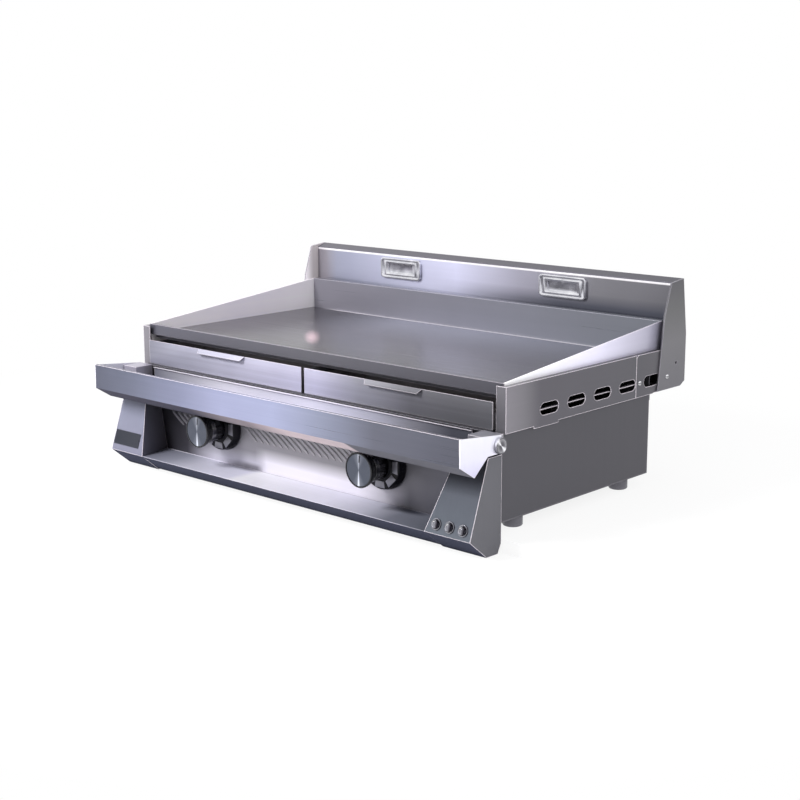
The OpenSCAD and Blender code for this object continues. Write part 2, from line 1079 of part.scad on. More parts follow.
module pilots() {
    base = shield_z + sheet;
    color(brass) placed()
        for (s = [-1, 1])
            translate([s * knob_x + pilot_x, pilot_y, 0]) {
                rod_z(0, 0, base, base + pilot_h, pilot_r);
                rod_z(0, 0, base + pilot_h, base + pilot_h + hood_h, hood_r);
                rod_z(spark_x, 0, base, base + spark_h, spark_r);
            }
}

module thermocouples() {
    base = shield_z + sheet;
    color(iron) placed()
        for (s = [-1, 1])
            rod_z(s * knob_x - pilot_x, pilot_y, base, base + probe_h, probe_r);
}

// Controls

module plunger(s) {
    start = panel_y + plunger_start;
    color(bright) placed()
        difference() {
            rod_y(s * knob_x, knob_z, start, start + plunger_len, plunger_r, plunger_r);
            rod_y(s * knob_x, knob_z, start - over, start + plunger_len + over,
                spindle_r + fit_gap, spindle_r + fit_gap);
        }
}

module plunger_left() {
    plunger(-1);
}

module plunger_right() {
    plunger(1);
}

module spindle(s) {
    color(brass) placed()
        rod_y(s * knob_x, knob_z, panel_y - knob_len + head_t, panel_y + spindle_in,
            spindle_r, spindle_r);
}

module spindle_left() {
    spindle(-1);
}

module spindle_right() {
    spindle(1);
}

module knob(s) {
    front = panel_y - knob_len;
    color(black) placed() translate([s * knob_x, 0, 0])
        difference() {
            union() {
                rod_y(0, knob_z, front, front + head_t, knob_r, knob_r);
                rod_y(0, knob_z, front + head_t, panel_y - neck_clear, neck_r, neck_r);
            }
            rod_y(0, knob_z, front - over, front + head_recess, insert_r, insert_r);
            rod_y(0, knob_z, front + head_t, panel_y, spindle_r, spindle_r);
            for (i = [0:flute_count - 1])
                translate([0, 0, knob_z])
                    rotate([0, i * 360 / flute_count, 0])
                        rod_y(flute_in, 0, front + head_t + band_in + band_w + over,
                            front + head_t + band_in + band_w + over + flute_len, flute_r, flute_r);
        }
}

module knob_left() {
    knob(-1);
}

module knob_right() {
    knob(1);
}

module knob_insert(s) {
    front = panel_y - knob_len;
    band = front + head_t + band_in;
    color(bright) placed() translate([s * knob_x, 0, 0]) {
        rod_y(0, knob_z, front + head_recess - insert_t, front + head_recess,
            insert_r - insert_gap, insert_r - insert_gap);
        difference() {
            rod_y(0, knob_z, band, band + band_w, band_r, band_r);
            rod_y(0, knob_z, band - over, band + band_w + over, neck_r + slide_gap, neck_r + slide_gap);
        }
    }
}

module knob_insert_left() {
    knob_insert(-1);
}

module knob_insert_right() {
    knob_insert(1);
}

module dial_bezels() {
    color(black) placed()
        for (s = [-1, 1])
            translate([s * knob_x, 0, 0])
                difference() {
                    union() {
                        rod_y(0, knob_z, panel_y - bezel_rim, panel_y, bezel_r, bezel_r);
                        rod_y(0, knob_z, panel_y - bezel_cone, panel_y - bezel_rim,
                            bezel_cone_r, bezel_r);
                        rod_y(0, knob_z, panel_y - collar_len, panel_y - bezel_cone,
                            collar_r, collar_r);
                    }
                    rod_y(0, knob_z, panel_y - collar_len - over, panel_y - collar_floor,
                        collar_bore_r, collar_bore_r);
                    rod_y(0, knob_z, panel_y - collar_len, panel_y + over,
                        panel_hole_r, panel_hole_r);
                }
}

// Igniters

function button_x(i) = cheek_x1 - button_in - i * button_pitch;

module igniters() {
    color(bright) placed()
        for (i = [0:2])
            on_face(button_x(i), button_up)
                difference() {
                    union() {
                        cylinder(h = ring_t, r = ring_r);
                        translate([0, 0, -igniter_len])
                            cylinder(h = igniter_len, r = igniter_r);
                    }
                    translate([0, 0, ring_t - ring_bore_d - knob_travel])
                        cylinder(h = ring_bore_d + knob_travel + over, r = ring_bore_r);
                    translate([0, 0, -stem_bore_d])
                        cylinder(h = stem_bore_d, r = stem_bore_r);
                }
}

module button(i) {
    dome_r = (button_r * button_r + cap_dome * cap_dome) / (2 * cap_dome);
    color(bright) placed()
        on_face(button_x(i), button_up) {
            translate([0, 0, cap_low - stem_len])
                cylinder(h = stem_len, r = stem_r);
            translate([0, 0, cap_low])
                cylinder(h = cap_side, r = button_r);
            translate([0, 0, cap_low + cap_side])
                intersection() {
                    translate([0, 0, cap_dome - dome_r])
                        sphere(dome_r);
                    cylinder(h = 2 * cap_dome, r = button_r);
                }
        }
}

module button_outer() {
    button(0);
}

module button_middle() {
    button(1);
}

module button_inner() {
    button(2);
}

// Feet and screws

module feet() {
    color(black) placed()
        for (s = [-1, 1], y = [foot_front, body_back - foot_rear])
            translate([s * (body_x - foot_in), y, body_z - foot_h]) {
                cylinder(h = foot_chamfer, r1 = foot_r - foot_chamfer, r2 = foot_r);
                translate([0, 0, foot_chamfer])
                    cylinder(h = foot_h - foot_chamfer, r = foot_r);
            }
}

// Dome head on a shank that points inwards from x
module dome_screw(x, y, z) {
    dome_r = (screw_head_r * screw_head_r + screw_head_h * screw_head_h) / (2 * screw_head_h);
    translate([x, y, z])
        rotate([0, 90, 0]) {
            translate([0, 0, -screw_len])
                cylinder(h = screw_len + screw_head_h / 2, r = screw_r);
            intersection() {
                translate([0, 0, screw_head_h - dome_r])
                    sphere(dome_r);
                cylinder(h = 2 * screw_head_h, r = screw_head_r);
            }
        }
}

module case_screws() {
    color(bright) placed()
        for (s = [-1, 1])
            on_side(s) {
                dome_screw(case_x, screw_y, screw_z);
                dome_screw(case_x + end_t, end_screw_y, screw_z);
            }
}

body_side_left();
body_side_right();
base_pan();
back_panel();
control_panel();
fascia_shelf();
cheek_left();
cheek_right();
data_plate();
drawer_shelf();
drawer_guides();
drawer_tray_left();
drawer_tray_right();
drawer_front_left();
drawer_front_right();
case_side_left();
case_side_right();
rear_bracket_left();
rear_bracket_right();
griddle_plate();
guard_left();
guard_right();
upstand();
front_lip();
burner_left();
burner_right();
injectors();
gas_manifold();
valve_left();
valve_right();
plunger_left();
plunger_right();
spindle_left();
spindle_right();
knob_left();
knob_right();
knob_insert_left();
knob_insert_right();
dial_bezels();
pilots();
thermocouples();
igniters();
button_inner();
button_middle();
button_outer();
heat_shield();
flue_duct();
splash_end_left();
splash_end_right();
splash_panel();
rear_cover();
flush_pulls();
rail_trough();
rail_caps();
rail_blocks();
rail_screw_left();
rail_screw_right();
feet();
case_screws();
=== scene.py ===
import math

import bpy
from mathutils import Euler, Matrix, Vector


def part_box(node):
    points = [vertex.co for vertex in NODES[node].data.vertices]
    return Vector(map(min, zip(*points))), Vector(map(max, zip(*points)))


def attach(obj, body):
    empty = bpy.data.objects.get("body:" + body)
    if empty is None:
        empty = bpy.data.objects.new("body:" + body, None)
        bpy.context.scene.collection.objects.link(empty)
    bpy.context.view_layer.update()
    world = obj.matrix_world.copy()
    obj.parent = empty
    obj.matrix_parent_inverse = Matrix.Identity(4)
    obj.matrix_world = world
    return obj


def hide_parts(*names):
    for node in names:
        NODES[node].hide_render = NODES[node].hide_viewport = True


bl_info = {
    "name": "Gas Griddle Dresser",
    "version": (1, 0, 0),
    "blender": (4, 5, 0),
    "location": "View3D > Sidebar > Griddle",
    "description": "Finishes and fittings for a bench-top gas griddle",
    "category": "Object",
}

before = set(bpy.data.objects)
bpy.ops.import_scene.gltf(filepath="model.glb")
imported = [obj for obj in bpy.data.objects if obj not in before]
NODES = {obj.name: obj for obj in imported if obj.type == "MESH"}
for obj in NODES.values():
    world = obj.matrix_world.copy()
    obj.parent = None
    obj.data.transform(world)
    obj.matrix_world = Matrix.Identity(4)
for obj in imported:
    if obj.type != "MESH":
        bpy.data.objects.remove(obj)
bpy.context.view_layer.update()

# The casing's front plane
FRONT = -0.201
SIDES = (("left", -1), ("right", 1))

# The control panel's face and the knobs' axes. The splashback's pulls stand above the knobs.
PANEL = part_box("control_panel")[0].y
KNOB_X = 0.208
KNOB_Z = (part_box("knob_left")[0].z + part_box("knob_left")[1].z) / 2

# The cheeks' outer sides, the foot of their slope in front of the casing, and how far that leans
CHEEK_SIDE = 0.458
CHEEK_REACH = 0.088
SLOPE_FOOT = 0.0341
LEAN = math.atan2(0.044, 0.1283)

# Screen colours that several pieces share: painted highlights on edges, and painted shade on faces
# that look down
BLUSH_HIGHLIGHT = (236, 226, 240)
RIM_HIGHLIGHT = (255, 246, 255)
UNDERSIDE_SHADE = (62, 64, 77)

# Lathe profiles in steps of height and radius, above the panel for the knobs and bezels
KNOB_BODY = (
    (0.0140, 0.0205), (0.0150, 0.0218), (0.0258, 0.0220), (0.0262, 0.0240), (0.0275, 0.0246),
    (0.0520, 0.0244), (0.0560, 0.0248), (0.0590, 0.0268), (0.0600, 0.0288), (0.0612, 0.0296),
    (0.0624, 0.0296), (0.0628, 0.0286), (0.0636, 0.0286), (0.0640, 0.0304), (0.0650, 0.0305),
    (0.0682, 0.0305), (0.0690, 0.0298), (0.0690, 0.0278), (0.0677, 0.0276))
KNOB_FACE = ((0.0677, 0.0274), (0.0681, 0.0274), (0.0684, 0.0271), (0.0685, 0.0150),
             (0.0684, 0.0030), (0.0682, 0.0006))
KNOB_BAND = ((0.0415, 0.0246), (0.0418, 0.0251), (0.0424, 0.0253), (0.0500, 0.0253),
             (0.0506, 0.0251), (0.0509, 0.0246))
BEZEL = (
    (0.0000, 0.0450), (0.0008, 0.0459), (0.0045, 0.0460), (0.0060, 0.0455), (0.0145, 0.0436),
    (0.0158, 0.0428), (0.0164, 0.0412), (0.0166, 0.0275), (0.0172, 0.0258), (0.0190, 0.0255),
    (0.0200, 0.0248), (0.0200, 0.0232), (0.0076, 0.0230))
RIVET = ((0.0004, 0.0018), (0.0009, 0.0017), (0.0012, 0.0011), (0.0013, 0.0004))
SCREW_HEAD = ((-0.004, 0.0024), (0.0, 0.0024), (0.0, 0.0046), (0.0007, 0.0044),
              (0.0014, 0.0036), (0.0021, 0.0022), (0.0021, 0.0016), (0.0008, 0.0014))
IGNITER_RING = ((-0.040, 0.0080), (0.0, 0.0080), (0.0, 0.0098), (0.0010, 0.0100),
                (0.0017, 0.0097), (0.0020, 0.0090), (0.0018, 0.0079), (0.0012, 0.0075),
                (-0.0058, 0.0075))
IGNITER_CAP = ((-0.020, 0.0053), (0.0017, 0.0053), (0.0018, 0.0069), (0.0022, 0.0072),
               (0.0033, 0.0072), (0.0046, 0.0067), (0.0058, 0.0055), (0.0067, 0.0038),
               (0.0072, 0.0018), (0.0073, 0.0004))

# What is cut from a flush pull or joined to it: width, height, corner radius, and two depths
PULL_STEPS = (
    ("DIFFERENCE", 0.1030, 0.0350, 0.0050, -0.001, 0.0014),
    ("UNION", 0.0880, 0.0290, 0.0045, 0.0003, 0.0020),
    ("DIFFERENCE", 0.0800, 0.0235, 0.0030, -0.001, 0.0012),
    ("DIFFERENCE", 0.0680, 0.0180, 0.0022, -0.001, 0.0046))


def tone(red, green, blue):
    """A screen colour of 0 to 255 as Blender's linear colour."""
    def linear(value):
        value /= 255
        return value / 12.92 if value <= 0.04045 else ((value + 0.055) / 1.055) ** 2.4
    return (linear(red), linear(green), linear(blue), 1.0)


# Materials

def add_node(tree, kind, settings=None, values=None, output=0):
    """Adds a node, with its settings and its sockets' values or links, and gives one output."""
    node = tree.nodes.new(kind)
    for name, value in (settings or {}).items():
        setattr(node, name, value)
    for place, value in (values or {}).items():
        if isinstance(value, Wire):
            tree.links.new(value.socket, node.inputs[place])
        else:
            node.inputs[place].default_value = value
    return Wire(tree, node.outputs[output])


class Wire:
    """One output in a material's node tree, which takes Python's arithmetic."""

    def __init__(self, tree, socket):
        self.tree = tree
        self.socket = socket

    def maths(self, operation, other=0.0, turned_round=False):
        pair = {0: other, 1: self} if turned_round else {0: self, 1: other}
        return add_node(self.tree, "ShaderNodeMath", {"operation": operation}, pair)

    def __add__(self, other):
        return self.maths("ADD", other)

    def __sub__(self, other):
        return self.maths("SUBTRACT", other)

    def __rsub__(self, other):
        return self.maths("SUBTRACT", other, turned_round=True)

    def __mul__(self, other):
        return self.maths("MULTIPLY", other)

    def __truediv__(self, other):
        return self.maths("DIVIDE", other)

    def __pow__(self, other):
        return self.maths("POWER", other)

    __radd__ = __add__

    def between(self, low, high):
        """0 where the value is at low, 1 where it is at high, and held outside."""
        return add_node(self.tree, "ShaderNodeMapRange", {"clamp": True},
                        {0: self, 1: low, 2: high, 3: 0.0, 4: 1.0})

    def ramp(self, stops):
        """A colour that follows the value through rising stops of (place, screen colour)."""
        low, high = stops[0][0], stops[-1][0]
        ramp = add_node(self.tree, "ShaderNodeValToRGB", None, {0: self.between(low, high)})
        elements = ramp.socket.node.color_ramp.elements
        while len(elements) < len(stops):
            elements.new(0.5)
        for number, (place, rgb) in enumerate(stops):
            elements[number].position = (place - low) / (high - low)
            elements[number].color = tone(*rgb)
        return ramp


class Finish:
    """A material under construction around one Principled shader."""

    def __init__(self, name, metallic, roughness, shine=0.5):
        self.material = bpy.data.materials.new(name)
        self.material.use_nodes = True
        self.tree = self.material.node_tree
        self.shader = self.tree.nodes["Principled BSDF"]
        self.roughness = roughness
        self.set("Metallic", metallic)
        self.set("Roughness", roughness)
        self.set("Specular IOR Level", shine)

    def set(self, socket, value):
        if isinstance(value, Wire):
            self.tree.links.new(value.socket, self.shader.inputs[socket])
        else:
            self.shader.inputs[socket].default_value = value

    def done(self, colour, unevenness, normal):
        """Links the colour, the roughness with its unevenness, and the normal."""
        self.set("Base Color", colour)
        self.set("Roughness", self.roughness + unevenness)
        self.set("Normal", normal)
        return self.material

    def node(self, kind, *details):
        return add_node(self.tree, kind, *details)

    def axis(self, letter):
        """One axis of the position for a capital letter, or of the normal for a small one."""
        kind = "Normal" if letter.islower() else "Object"
        place = self.node("ShaderNodeTexCoord", None, None, kind)
        return self.node("ShaderNodeSeparateXYZ", None, {0: place}, letter.upper())

    def noise(self, size, detail, roughness=0.5, scale=(1, 1, 1)):
        place = self.node("ShaderNodeTexCoord", None, None, "Object")
        spot = self.node("ShaderNodeMapping", None, {"Vector": place, "Scale": scale})
        return self.node("ShaderNodeTexNoise", None,
                         {"Vector": spot, "Scale": size, "Detail": detail, "Roughness": roughness})

    def mix(self, amount, first, second, blend="MIX"):
        return self.node("ShaderNodeMix", {"data_type": "RGBA", "blend_type": blend},
                         {0: amount, 6: first, 7: second}, 2)

    def shaded(self, colour, shade):
        """A colour times a value."""
        grey = self.node("ShaderNodeCombineColor", None, {0: shade, 1: shade, 2: shade})
        return self.mix(1.0, colour, grey, "MULTIPLY")

    def bump(self, height, depth, strength, normal=None):
        values = {"Height": height, "Distance": depth, "Strength": strength}
        if normal:
            values["Normal"] = normal
        return self.node("ShaderNodeBump", None, values)

    def rounded(self, radius):
        """A normal that rounds the edges, and how strongly each point is on an edge."""
        soft = self.node("ShaderNodeBevel", {"samples": 6}, {"Radius": radius})
        flat = self.node("ShaderNodeNewGeometry", None, None, "True Normal")
        facing = self.node("ShaderNodeVectorMath", {"operation": "DOT_PRODUCT"},
                           {0: soft, 1: flat}, "Value")
        return soft, (1.0 - facing).between(0.004, 0.08)


def brushed(name, along, stops, grain="X", roughness=0.34, metallic=0.6, shine=0.5,
            streak=0.05, cloud=0.03, edge=None, edge_amount=0.8, edge_above=None, under=None,
            painted_light=(), spots=()):
    """Brushed sheet steel, with streaks along the grain and painted light and shade in its tone.

    A stop is (place, screen colour), and the stops paint a sheen and shade along one axis. Edge is
    the colour of a painted highlight on the edges, or on those above a level. Under is the painted
    shade of faces that look down. A wash is (colour, amount, limits), a painted pool of light, a
    painted shadow or a painted reflection, and each limit is (axis, place of none, place of full).
    A spot is (colour, amount, centre, turn, radii), a painted highlight or shadow in an oval seen
    from above. Places are in metres, or from -1 to 1 on the axis of a normal.
    """
    def stretched(lengthwise, crosswise):
        return [lengthwise if letter == grain else crosswise for letter in "XYZ"]

    finish = Finish(name, metallic, roughness, shine)
    hair = finish.noise(1.0, 4.0, 0.6, stretched(2.2, 900))
    bands = finish.noise(1.0, 2.0, 0.5, stretched(0.8, 110))
    patch = finish.noise(9.0, 2.0, 0.45)
    # Painted sheen and shade: the tone follows the stops along one axis
    colour = finish.axis(along).ramp(stops)
    # Painted shade on faces that look down, which are also made less metallic
    if under:
        down = (0.0 - finish.axis("z")).between(0.2, 0.6)
        colour = finish.mix(down, colour, tone(*under))
        finish.set("Metallic", (1.0 - down) * metallic)
    # Painted pools of light, shadows and reflections, each held inside its limits
    for rgb, amount, limits in painted_light:
        for letter, none, full in limits:
            amount = finish.axis(letter).between(none, full) * amount
        colour = finish.mix(amount, colour, tone(*rgb))
    # Painted highlights and shadows in ovals seen from above
    for rgb, amount, centre, turn, radii in spots:
        right = finish.axis("X") - centre[0]
        back = finish.axis("Y") - centre[1]
        long = (right * math.cos(turn) + back * math.sin(turn)) / radii[0]
        short = (back * math.cos(turn) - right * math.sin(turn)) / radii[1]
        inside = 1.0 - ((long * long + short * short) ** 0.5).between(0.25, 1.0)
        colour = finish.mix(inside * amount, colour, tone(*rgb))
    streaks = (hair - 0.5) * (streak * 2) + (bands - 0.5) * (streak * 2)
    colour = finish.shaded(colour, 1.0 + streaks + (patch - 0.5) * (cloud * 4))
    soft, rim = finish.rounded(0.0017)
    if under:
        rim = rim * (1.0 - down * 0.9)
    if edge_above:
        rim = rim * finish.axis("Z").between(edge_above - 0.008, edge_above)
    # Painted highlights along the edges
    if edge:
        colour = finish.mix(rim * edge_amount, colour, tone(*edge))
    unevenness = (bands - 0.5) * 0.10 + (hair - 0.5) * 0.08 + (patch - 0.5) * 0.06
    return finish.done(colour, unevenness,
                       finish.bump(hair * 0.7 + bands * 0.3, 0.00012, 0.55, soft))


def cast(name, plain, metallic, roughness, grain=0.0004, spread=0.12, shine=0.5):
    """A plain metal or plastic with a fine surface, small changes of tone, and a painted highlight
    on its edges.
    """
    finish = Finish(name, metallic, roughness, shine)
    fine = finish.noise(900.0, 4.0, 0.6)
    patch = finish.noise(35.0, 2.0, 0.5)
    soft, rim = finish.rounded(0.0006)
    # The tone varies at random, and the edges get a painted highlight
    shade = 1.0 + (fine - 0.5) * spread + (patch - 0.5) * spread + rim * 0.35
    return finish.done(finish.shaded(plain, shade), (fine - 0.5) * 0.10 + (patch - 0.5) * 0.08,
                       finish.bump(fine, grain, 0.4, soft))


def chrome(name, low=40, middle=120, high=250, roughness=0.12):
    """Polished metal. The dark and bright bands that a studio throws on it are painted into its
    colour by the way each face looks, and its edges get a painted highlight.
    """
    finish = Finish(name, 0.9, roughness)
    wave = finish.noise(60.0, 1.0, 0.4)
    # Painted reflections: bands of light and shade by the way each face looks
    bands = (finish.axis("z") + (wave - 0.5) * 0.35).ramp([
        (place, (value, value, value + blue)) for place, value, blue in (
            (-1.0, low, 6), (-0.55, middle, 8), (-0.3, high, 0), (-0.12, low + 30, 8),
            (0.1, middle + 30, 8), (0.3, high, 0), (0.6, high - 30, 10), (0.8, low + 40, 6),
            (1.0, high, 0))])
    soft, rim = finish.rounded(0.0005)
    # Painted highlight on the edges
    return finish.done(finish.mix(rim * 0.5, bands, tone(high, high, high)),
                       (wave - 0.5) * 0.06, finish.bump(wave, 0.0001, 0.2, soft))


def dome_chrome(name):
    """Small polished domes and rings: painted dark, with a painted bright line at the left and two
    painted glints.
    """
    finish = Finish(name, 0.9, 0.16)
    across, forward, height = (finish.axis(letter) for letter in "xyz")
    # Painted reflection: lighter to the left, a painted bright line, and painted shade to the
    # right
    colour = across.ramp([
        (-1.0, (150, 148, 164)), (-0.52, (128, 126, 142)), (-0.40, (246, 246, 252)),
        (-0.26, (110, 110, 120)), (0.05, (150, 150, 158)), (0.38, (84, 82, 90)),
        (0.62, (16, 14, 22)), (0.82, (24, 22, 30)), (1.0, (96, 94, 102))])
    # Painted shade on the lower faces
    below = (0.0 - height).between(0.45, 0.8)
    colour = finish.mix(below * 0.7, colour, tone(30, 28, 38))
    # Painted glints at the upper left and the lower left
    upper = (across * -0.36 - forward * 0.46 + height * 0.81).between(0.86, 0.93)
    lower = (across * -0.42 - forward * 0.85 - height * 0.32).between(0.95, 0.985)
    colour = finish.mix(upper, colour, tone(255, 255, 255))
    colour = finish.mix(lower * 0.9, colour, tone(240, 240, 250))
    wave = finish.noise(60.0, 1.0, 0.4)
    return finish.done(colour, (wave - 0.5) * 0.06, finish.bump(wave, 0.0001, 0.2))


def lathe_marks(finish, letters, centre, fineness, tilt=0.0):
    """A lathe's marks on a flat face, seen along the axis that letters leaves out.

    Gives the rings, 0 on a line through the centre to 1 square to it, and the second place.
    """
    first = finish.axis(letters[0]) - centre[0]
    second = finish.axis(letters[1]) - centre[1]
    radius = (first * first + second * second) ** 0.5
    aside = (first * math.cos(tilt) + second * math.sin(tilt)).maths("ABSOLUTE")
    return (radius * fineness).maths("SINE"), aside / (radius + 0.0005), second


def spun(name, centre_x):
    """Aluminium turned on a lathe: fine rings, and a painted reflection of the two bright wedges
    that they catch.
    """
    finish = Finish(name, 0.85, 0.33)
    rings, aside, up = lathe_marks(finish, "XZ", (centre_x, KNOB_Z), 21000.0)
    below = (0.0 - up).between(0.0, 0.004)
    # Painted reflection: a bright wedge below the centre, a fainter one above, and a soft glow
    # about them
    bright = (1.0 - aside.between(0.02, 0.13)) * (below * 0.85 + (1.0 - below) * 0.3)
    soft_wedge = (1.0 - aside.between(0.0, 0.55)) * 0.16
    colour = finish.mix(bright + soft_wedge, tone(83, 87, 99), tone(236, 240, 255))
    colour = finish.shaded(colour, rings * 0.035 + 1.0)
    return finish.done(colour, rings * 0.03, finish.bump(rings, 0.00003, 0.5))


def hand_screw_chrome(name, centre_y, centre_z):
    """Polished round the side with painted bands of light and shade, and turned on the flat end
    with a painted slanting highlight.
    """
    finish = Finish(name, 0.9, 0.2)
    rings, aside, up = lathe_marks(finish, "YZ", (centre_y, centre_z), 16000.0, math.pi / 4)
    # Painted bands of light and shade round the side, by the way each face looks
    side = finish.axis("z").ramp([
        (-1.0, (70, 70, 78)), (-0.4, (120, 120, 128)), (0.0, (150, 148, 158)),
        (0.35, (250, 250, 255)), (0.7, (236, 236, 244)), (1.0, (200, 200, 210))])
    # Painted slanting highlight on the flat end
    face = finish.mix(1.0 - aside.between(0.10, 0.45), tone(96, 95, 102), tone(246, 246, 252))
    outward = finish.axis("x")
    colour = finish.mix((outward * outward).between(0.5, 0.9), side, face)
    colour = finish.shaded(colour, rings * 0.04 + 1.0)
    soft, rim = finish.rounded(0.0006)
    # Painted highlight on the edges
    return finish.done(finish.mix(rim * 0.4, colour, tone(250, 250, 255)), rings * 0.03,
                       finish.bump(rings, 0.00003, 0.3, soft))


# Small modelling steps

def deselect():
    if bpy.context.object and bpy.context.object.mode != "OBJECT":
        bpy.ops.object.mode_set(mode="OBJECT")
    bpy.ops.object.select_all(action="DESELECT")


def hold(piece):
    """Makes a piece the only selected and active one."""
    deselect()
    piece.select_set(True)
    bpy.context.view_layer.objects.active = piece


def settle(piece):
    """Puts a piece's place, turn and size into its mesh."""
    hold(piece)
    bpy.ops.object.transform_apply(location=True, rotation=True, scale=True)


def pick(piece, kind, test):
    """Enters edit mode with the faces or edges that pass a test selected."""
    hold(piece)
    bpy.ops.object.mode_set(mode="EDIT")
    bpy.ops.mesh.select_mode(type=kind)
    bpy.ops.mesh.select_all(action="DESELECT")
    bpy.ops.object.mode_set(mode="OBJECT")
    for item in piece.data.polygons if kind == "FACE" else piece.data.edges:
        item.select = bool(test(item))
    bpy.ops.object.mode_set(mode="EDIT")


def span(piece, edge):
    """The vector from one end of an edge to the other."""
    first, second = (piece.data.vertices[number].co for number in edge.vertices)
    return second - first


def slab(name, size, centre):
    """A block with its place in its mesh."""
    deselect()
    bpy.ops.mesh.primitive_cube_add(size=1, location=centre)
    piece = bpy.context.object
    piece.name = name
    piece.scale = size
    settle(piece)
    return piece


def turned(name, profile, points=96):
    """A lathe form: a disc that is drawn up and widened through (height, radius) steps."""
    deselect()
    height, radius = profile[0]
    bpy.ops.mesh.primitive_circle_add(vertices=points, radius=radius, fill_type="NGON",
                                      location=(0, 0, height))
    piece = bpy.context.object
    piece.name = name
    settle(piece)
    bpy.ops.object.mode_set(mode="EDIT")
    bpy.ops.mesh.select_all(action="SELECT")
    for next_height, next_radius in profile[1:]:
        step = next_height - height
        bpy.ops.mesh.extrude_region_move(TRANSFORM_OT_translate={"value": (0, 0, step)})
        share = next_radius / radius
        bpy.ops.transform.resize(value=(share, share, 1), center_override=(0, 0, next_height))
        height, radius = next_height, next_radius
    bpy.ops.mesh.select_all(action="SELECT")
    bpy.ops.mesh.normals_make_consistent(inside=False)
    bpy.ops.object.mode_set(mode="OBJECT")
    return piece


def soften(piece, width, segments, angle=35):
    """Rounds the sharp edges and smooths what lies between them."""
    hold(piece)
    bevel = piece.modifiers.new("Rounded edges", "BEVEL")
    bevel.width = width
    bevel.segments = segments
    bevel.limit_method = "ANGLE"
    bevel.angle_limit = math.radians(angle)
    bpy.ops.object.modifier_apply(modifier=bevel.name)
    bpy.ops.object.shade_smooth_by_angle(angle=math.radians(38))


def carve(piece, tool, operation):
    """Joins a tool to a piece or cuts it out, and takes the tool away."""
    hold(piece)
    step = piece.modifiers.new("Carve", "BOOLEAN")
    step.operation = operation
    step.object = tool
    step.solver = "EXACT"
    bpy.ops.object.modifier_apply(modifier=step.name)
    bpy.data.objects.remove(tool)


def move(piece, matrix):
    """Moves a piece and puts the move into its mesh."""
    piece.matrix_world = matrix @ piece.matrix_world
    settle(piece)


def seat(piece, stand, width, segments, angle=35):
    """Softens a piece's edges and moves it to where it stands."""
    soften(piece, width, segments, angle)
    move(piece, stand)
    return piece


def copied(piece, name, matrix):
    """A copy with a mesh of its own, moved into place."""
    twin = piece.copy()
    twin.data = piece.data.copy()
    twin.name = name
    bpy.context.scene.collection.objects.link(twin)
    move(twin, matrix)
    return twin


def joined(name, pieces):
    """One object from several."""
    deselect()
    for piece in pieces:
        piece.select_set(True)
    bpy.context.view_layer.objects.active = pieces[0]
    bpy.ops.object.join()
    pieces[0].name = name
    return pieces[0]


def dress(piece, material, body, stands_for=()):
    """Gives a finished piece its material, its body and the nodes that it replaces."""
    piece.data.materials.clear()
    piece.data.materials.append(material)
    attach(piece, body)
    if stands_for:
        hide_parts(*stands_for)


def to_front(x, z):
    """Stands a form that was built along +Z out of the panel, towards the cook."""
    return Matrix.Translation((x, PANEL, z)) @ Matrix.Rotation(math.radians(90), 4, "X")


def to_side(x, y, z, side):
    """Turns a form that was built along +Z to point outwards from the left or right side."""
    return Matrix.Translation((x, y, z)) @ Matrix.Rotation(math.radians(90 * side), 4, "Y")


# Settings

class GriddleColours(bpy.types.PropertyGroup):
    knob_black: bpy.props.FloatVectorProperty(
        name="Knob black", description="Moulded black of the knobs and bezels", subtype="COLOR",
        size=3, min=0, max=1, default=tone(20, 20, 25)[:3])
    brass: bpy.props.FloatVectorProperty(
        name="Brass", description="Gas taps and injectors", subtype="COLOR", size=3, min=0,
        max=1, default=tone(196, 164, 104)[:3])


class GriddleSizes(bpy.types.PropertyGroup):
    knob_edge: bpy.props.FloatProperty(
        name="Knob edge", description="Rounding of the knobs' edges", default=0.0008, min=0,
        subtype="DISTANCE", unit="LENGTH")
    louvre_height: bpy.props.FloatProperty(
        name="Louvre height", description="How far the pressed louvres stand out", default=0.0024,
        min=0.0005, max=0.004, subtype="DISTANCE", unit="LENGTH")
    louvre_pitch: bpy.props.FloatProperty(
        name="Louvre pitch", description="Distance between two louvres", default=0.017,
        min=0.01, subtype="DISTANCE", unit="LENGTH")
    bench_height: bpy.props.FloatProperty(
        name="Bench height", description="Level of the bench under the feet", default=0.0225,
        min=0, subtype="DISTANCE", unit="LENGTH")


